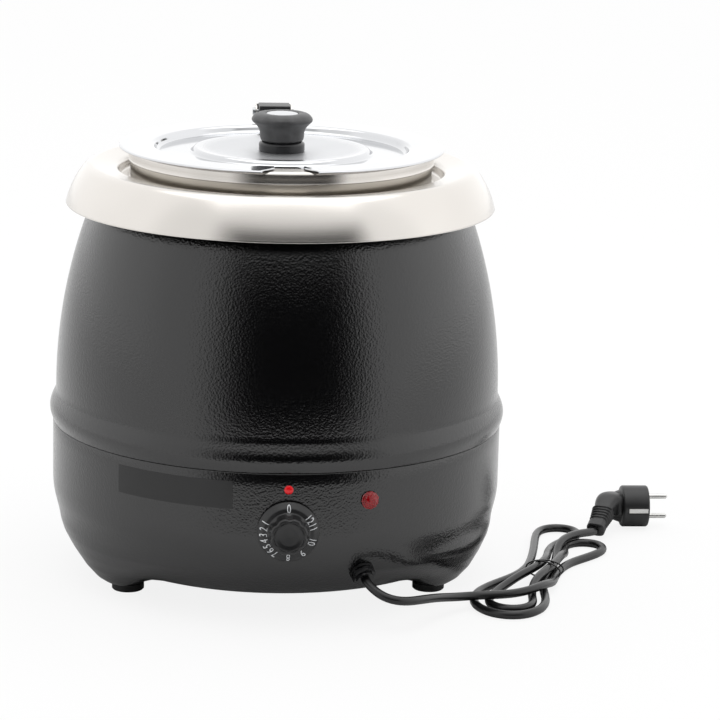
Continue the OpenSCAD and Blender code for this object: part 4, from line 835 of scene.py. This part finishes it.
dialPiece = dialKnob(dial)
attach(dialPiece, "dial")
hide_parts("dial_knob")
cap = revolve("dialCap", roundCorners(np.array(dial["capOutline"]), 0.6, 3), 96, False, finishes["cap"],
              (0, dial["centre"][1] - dial["back"], dial["centre"][2]), "-y")
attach(cap, "dial")
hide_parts("dial_cap")
numbers = dialNumbers(dial)
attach(numbers, "dial")
print("dial made")


# lamp lens: ten facets, cut in three rows

lens = {"azimuth": 20.2, "radius": 198.45, "height": 111.5, "facets": 10,
        "rows": ((7.8, 0.0), (7.8, 1.6), (7.0, 2.6), (5.6, 4.6), (2.9, 6.1), (pole, 6.1))}


def lensSurface(e):
    # every row is a ring of points and is turned by half a facet against the row behind it, so each facet
    # is a flat triangle
    a = math.radians(e["azimuth"])
    out = np.array([math.sin(a), -math.cos(a), 0])
    across = np.array([math.cos(a), math.sin(a), 0])
    up, middle = np.array([0, 0, 1]), np.array([0, 0, e["height"]])
    rows = np.array(e["rows"])
    turn = np.arange(len(rows))[:, None] * np.pi / e["facets"]
    t = (fullTurn(e["facets"])[None] + turn)[..., None]
    r, h = rows[:, 0][:, None, None], rows[:, 1][:, None, None]
    points = out * (e["radius"] + h) + r * np.cos(t) * across + r * np.sin(t) * up + middle
    back = np.repeat((out * e["radius"] + middle)[None, None], e["facets"], 1)
    return gridMesh("lampLens", np.concatenate([back, points]) * mm, closedV=True, smooth=False,
                    material=finishes["lens"])


lensPiece = lensSurface(lens)
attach(lensPiece, "kettle")
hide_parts("lamp_lens")


# plug: round moulded body, bent neck and ribbed sleeve

plug = {"centre": (345.0, 118.0, 19.5), "grooveR": 17.8, "grooveHalf": 1.9, "grooveFrom": -6.3,
        "outline": ((pole, -22), (9.5, -22), (12.5, -20), (15.5, -11.8), (18.3, -11.2), (19.5, -9.8),
                    (19.5, 12.8), (18.6, 14.0), (pole, 14.0)), "columns": 144,
        "sleeveFrom": (-12.0, -1.0, 1.0), "sleeveTop": (314.0, 107.0, 24.0), "sleeveEnd": (303.0, 72.0, 9.0),
        "ribs": 5, "ribFirst": 12.8, "ribPitch": 3.6, "ribHalf": 1.3, "ribRise": 1.5,
        "cuff": 9.5, "cuffR": 8.4}


def plugBody(p):
    # a turned profile; at both sides a groove is pressed in wherever a point lies close to the middle
    # plane, and the earth contacts lie in it
    profile = finer(roundCorners(np.array(p["outline"]), 1.6, 5), 1.6)
    t = fullTurn(p["columns"])
    r, h = profile[:, 0][:, None], profile[:, 1][:, None]
    groove = (np.abs(r * np.sin(t)) < p["grooveHalf"]) & (h > p["grooveFrom"]) & (r > p["grooveR"])
    r = np.where(groove, p["grooveR"], r)
    points = np.stack([h + 0 * t, r * np.cos(t), r * np.sin(t)], -1) + np.array(p["centre"])
    return gridMesh("plugMain", points * mm, closedV=True, material=finishes["plug"])


def plugSleeve(p):
    # a squared tube along a bent line: wide where it leaves the body, then five ribs and a thicker cuff
    a, b = np.array(p["sleeveTop"]), np.array(p["sleeveEnd"])
    start = np.array(p["centre"]) + np.array(p["sleeveFrom"])
    line = smoothPath([start, start + (a - start) * 0.5 + np.array([1.0, 0.5, 1.0]),
                       a + np.array([6.0, 1.0, -0.5]), a + (b - a) * 0.5 + np.array([2.5, 0, 0]), b], 0.5)
    s = np.r_[0, np.cumsum(np.linalg.norm(np.diff(line, axis=0), axis=1))]
    total = s[-1]
    radius = np.interp(s, [0, 14, 26, total - 13, total], [14.0, 12.4, 9.6, 7.4, 7.2])
    back = total - s
    for k in range(p["ribs"]):
        rib = p["ribFirst"] + p["ribPitch"] * k
        radius += p["ribRise"] * smoothStep(1 - np.abs(back - rib) / p["ribHalf"])
    radius = np.where(back < p["cuff"], p["cuffR"], radius)
    # the last millimetre draws in to a softened end
    radius = np.where(back < 1.0, p["cuffR"] - (1 - np.clip(back, 0, 1)), radius)
    return tube("plugSleeve", line, radius, 56, material=finishes["plug"], boxy=0.62, flat=0.84)


plugMain = plugBody(plug)
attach(plugMain, "kettle")
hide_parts("plug_body")
sleeve = plugSleeve(plug)
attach(sleeve, "kettle")
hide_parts("plug_sleeve")

tie = {"centre": (238.0, -49.0, 8.6), "along": 67.0, "wire": 0.7, "wide": 16.5, "high": 7.9,
       "loops": ((-2.0, 3.5), (2.2, -3.0))}


def wireTie(t):
    # each loop of thin wire is an ellipse across the bundle, shifted and tilted along it
    a = math.radians(t["along"])
    across = np.array([-math.sin(a), math.cos(a), 0])
    run = np.array([math.cos(a), math.sin(a), 0])
    u = fullTurn(72)[:, None]
    pieces = []
    for shift, tilt in t["loops"]:
        line = (np.array(t["centre"]) + run * shift + run * tilt * np.cos(u)
                + across * (t["wide"] * np.cos(u)) + np.array([0, 0, 1]) * (t["high"] * np.sin(u)))
        pieces.append(tube("loop", line, t["wire"], 10, closedLoop=True, material=finishes["gland"]))
    return joinPieces("wireTie", pieces)


tiePiece = wireTie(tie)
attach(tiePiece, "kettle")
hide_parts("hank_tie")
print("plug and tie made")


# floor, lamp and world

board = {"half": 4, "front": -0.7, "back": 7, "grey": 0.75, "rough": 0.9, "ownLight": 0.86}


def studioFloor(b):
    # white painted board that ends in front of the set; the camera sees it partly lit by itself,
    # so that it reads as white and still keeps the shadow
    mesh = bpy.data.meshes.new("studioFloor")
    corners = [(-b["half"], b["front"], 0), (b["half"], b["front"], 0), (b["half"], b["back"], 0),
               (-b["half"], b["back"], 0)]
    mesh.from_pydata(corners, [], [(0, 1, 2, 3)])
    floor = newObject("studioFloor", mesh)
    material, tree, shader = newMaterial("paintedStudioFloor")
    setShader(shader, {"Base Color": (b["grey"], b["grey"], b["grey"], 1), "Roughness": b["rough"]}, {})
    rays = addNode(tree, "ShaderNodeLightPath")
    glow = addNode(tree, "ShaderNodeEmission", {"in:Color": (1, 1, 1, 1), "in:Strength": 1.0})
    share = addNode(tree, "ShaderNodeMath", {"operation": "MULTIPLY", "in:1": b["ownLight"]},
                    {0: (rays, "Is Camera Ray")})
    mix = addNode(tree, "ShaderNodeMixShader", None, {0: (share, "Value"), 1: (shader, 0), 2: (glow, 0)})
    output = next(n for n in tree.nodes if n.type == "OUTPUT_MATERIAL")
    tree.links.new(mix.outputs[0], output.inputs["Surface"])
    mesh.materials.append(material)


studioFloor(board)

softLamp = {"place": (0.0, 0.1, 2.6), "size": 2.6, "power": 22}


def placeLamp(s):
    # one wide square lamp overhead, pointing straight down
    data = bpy.data.lights.new("softLamp", "AREA")
    data.size = s["size"]
    data.energy = s["power"]
    newObject("softLamp", data).location = s["place"]


placeLamp(softLamp)

tent = {"light": 1.12, "rightward": 0.07, "behind": 0.2, "opening": 0.015, "lean": 0.12,
        "sides": (0.48, 1.1), "top": (0.38, 0.66), "far": (1.2, 6.0)}


def studioWorld(t):
    # a white tent all round, a little brighter on the right, with one dark opening behind the camera.
    # With the direction as (x, y, z), the opening fades to white as |x + lean y| / -y runs between the
    # limits for its sides, or z between those for its top
    world = bpy.data.worlds.new("studioTent")
    world.use_nodes = True
    bpy.context.scene.world = world
    tree = world.node_tree
    background = next(n for n in tree.nodes if n.type == "BACKGROUND")
    where = addNode(tree, "ShaderNodeTexCoord")
    split = addNode(tree, "ShaderNodeSeparateXYZ", None, {"Vector": (where, "Generated")})
    turned = addNode(tree, "ShaderNodeMath", {"operation": "MULTIPLY_ADD", "in:1": t["lean"]},
                     {0: (split, "Y"), 2: (split, "X")})
    wide = addNode(tree, "ShaderNodeMath", {"operation": "ABSOLUTE"}, {0: (turned, "Value")})
    ahead = addNode(tree, "ShaderNodeMath", {"operation": "MULTIPLY", "in:1": -1.0}, {0: (split, "Y")})
    deep = addNode(tree, "ShaderNodeMath", {"operation": "MAXIMUM", "in:1": 0.001}, {0: (ahead, "Value")})
    ratio = addNode(tree, "ShaderNodeMath", {"operation": "DIVIDE"}, {0: (wide, "Value"), 1: (deep, "Value")})
    beside = addNode(tree, "ShaderNodeMapRange",
                     {"interpolation_type": "SMOOTHSTEP", "in:From Min": t["sides"][0],
                      "in:From Max": t["sides"][1]}, {"Value": (ratio, "Value")})
    above = addNode(tree, "ShaderNodeMapRange",
                    {"interpolation_type": "SMOOTHSTEP", "in:From Min": t["top"][0],
                     "in:From Max": t["top"][1]}, {"Value": (split, "Z")})
    either = addNode(tree, "ShaderNodeMath", {"operation": "MAXIMUM"},
                     {0: (beside, "Result"), 1: (above, "Result")})
    far = addNode(tree, "ShaderNodeMapRange",
                  {"interpolation_type": "SMOOTHSTEP", "in:From Min": t["far"][0], "in:From Max": t["far"][1],
                   "in:To Min": t["light"], "in:To Max": t["light"] + t["behind"]},
                  {"Value": (ratio, "Value")})
    bright = addNode(tree, "ShaderNodeMath", {"operation": "MULTIPLY_ADD", "in:1": t["rightward"]},
                     {0: (split, "X"), 2: (far, "Result")})
    level = addNode(tree, "ShaderNodeMapRange", {"in:To Min": t["opening"]},
                    {"Value": (either, "Value"), "To Max": (bright, "Value")})
    tree.links.new(level.outputs["Result"], background.inputs["Strength"])
    background.inputs["Color"].default_value = (1, 1, 1, 1)
    rays = addNode(tree, "ShaderNodeLightPath")
    white = addNode(tree, "ShaderNodeBackground", {"in:Color": (1, 1, 1, 1), "in:Strength": 1.0})
    mix = addNode(tree, "ShaderNodeMixShader", None,
                  {0: (rays, "Is Camera Ray"), 1: (background, 0), 2: (white, 0)})
    output = next(n for n in tree.nodes if n.type == "OUTPUT_WORLD")
    tree.links.new(mix.outputs[0], output.inputs["Surface"])


studioWorld(tent)
bpy.context.scene.view_settings.view_transform = "Standard"
print("set lit")
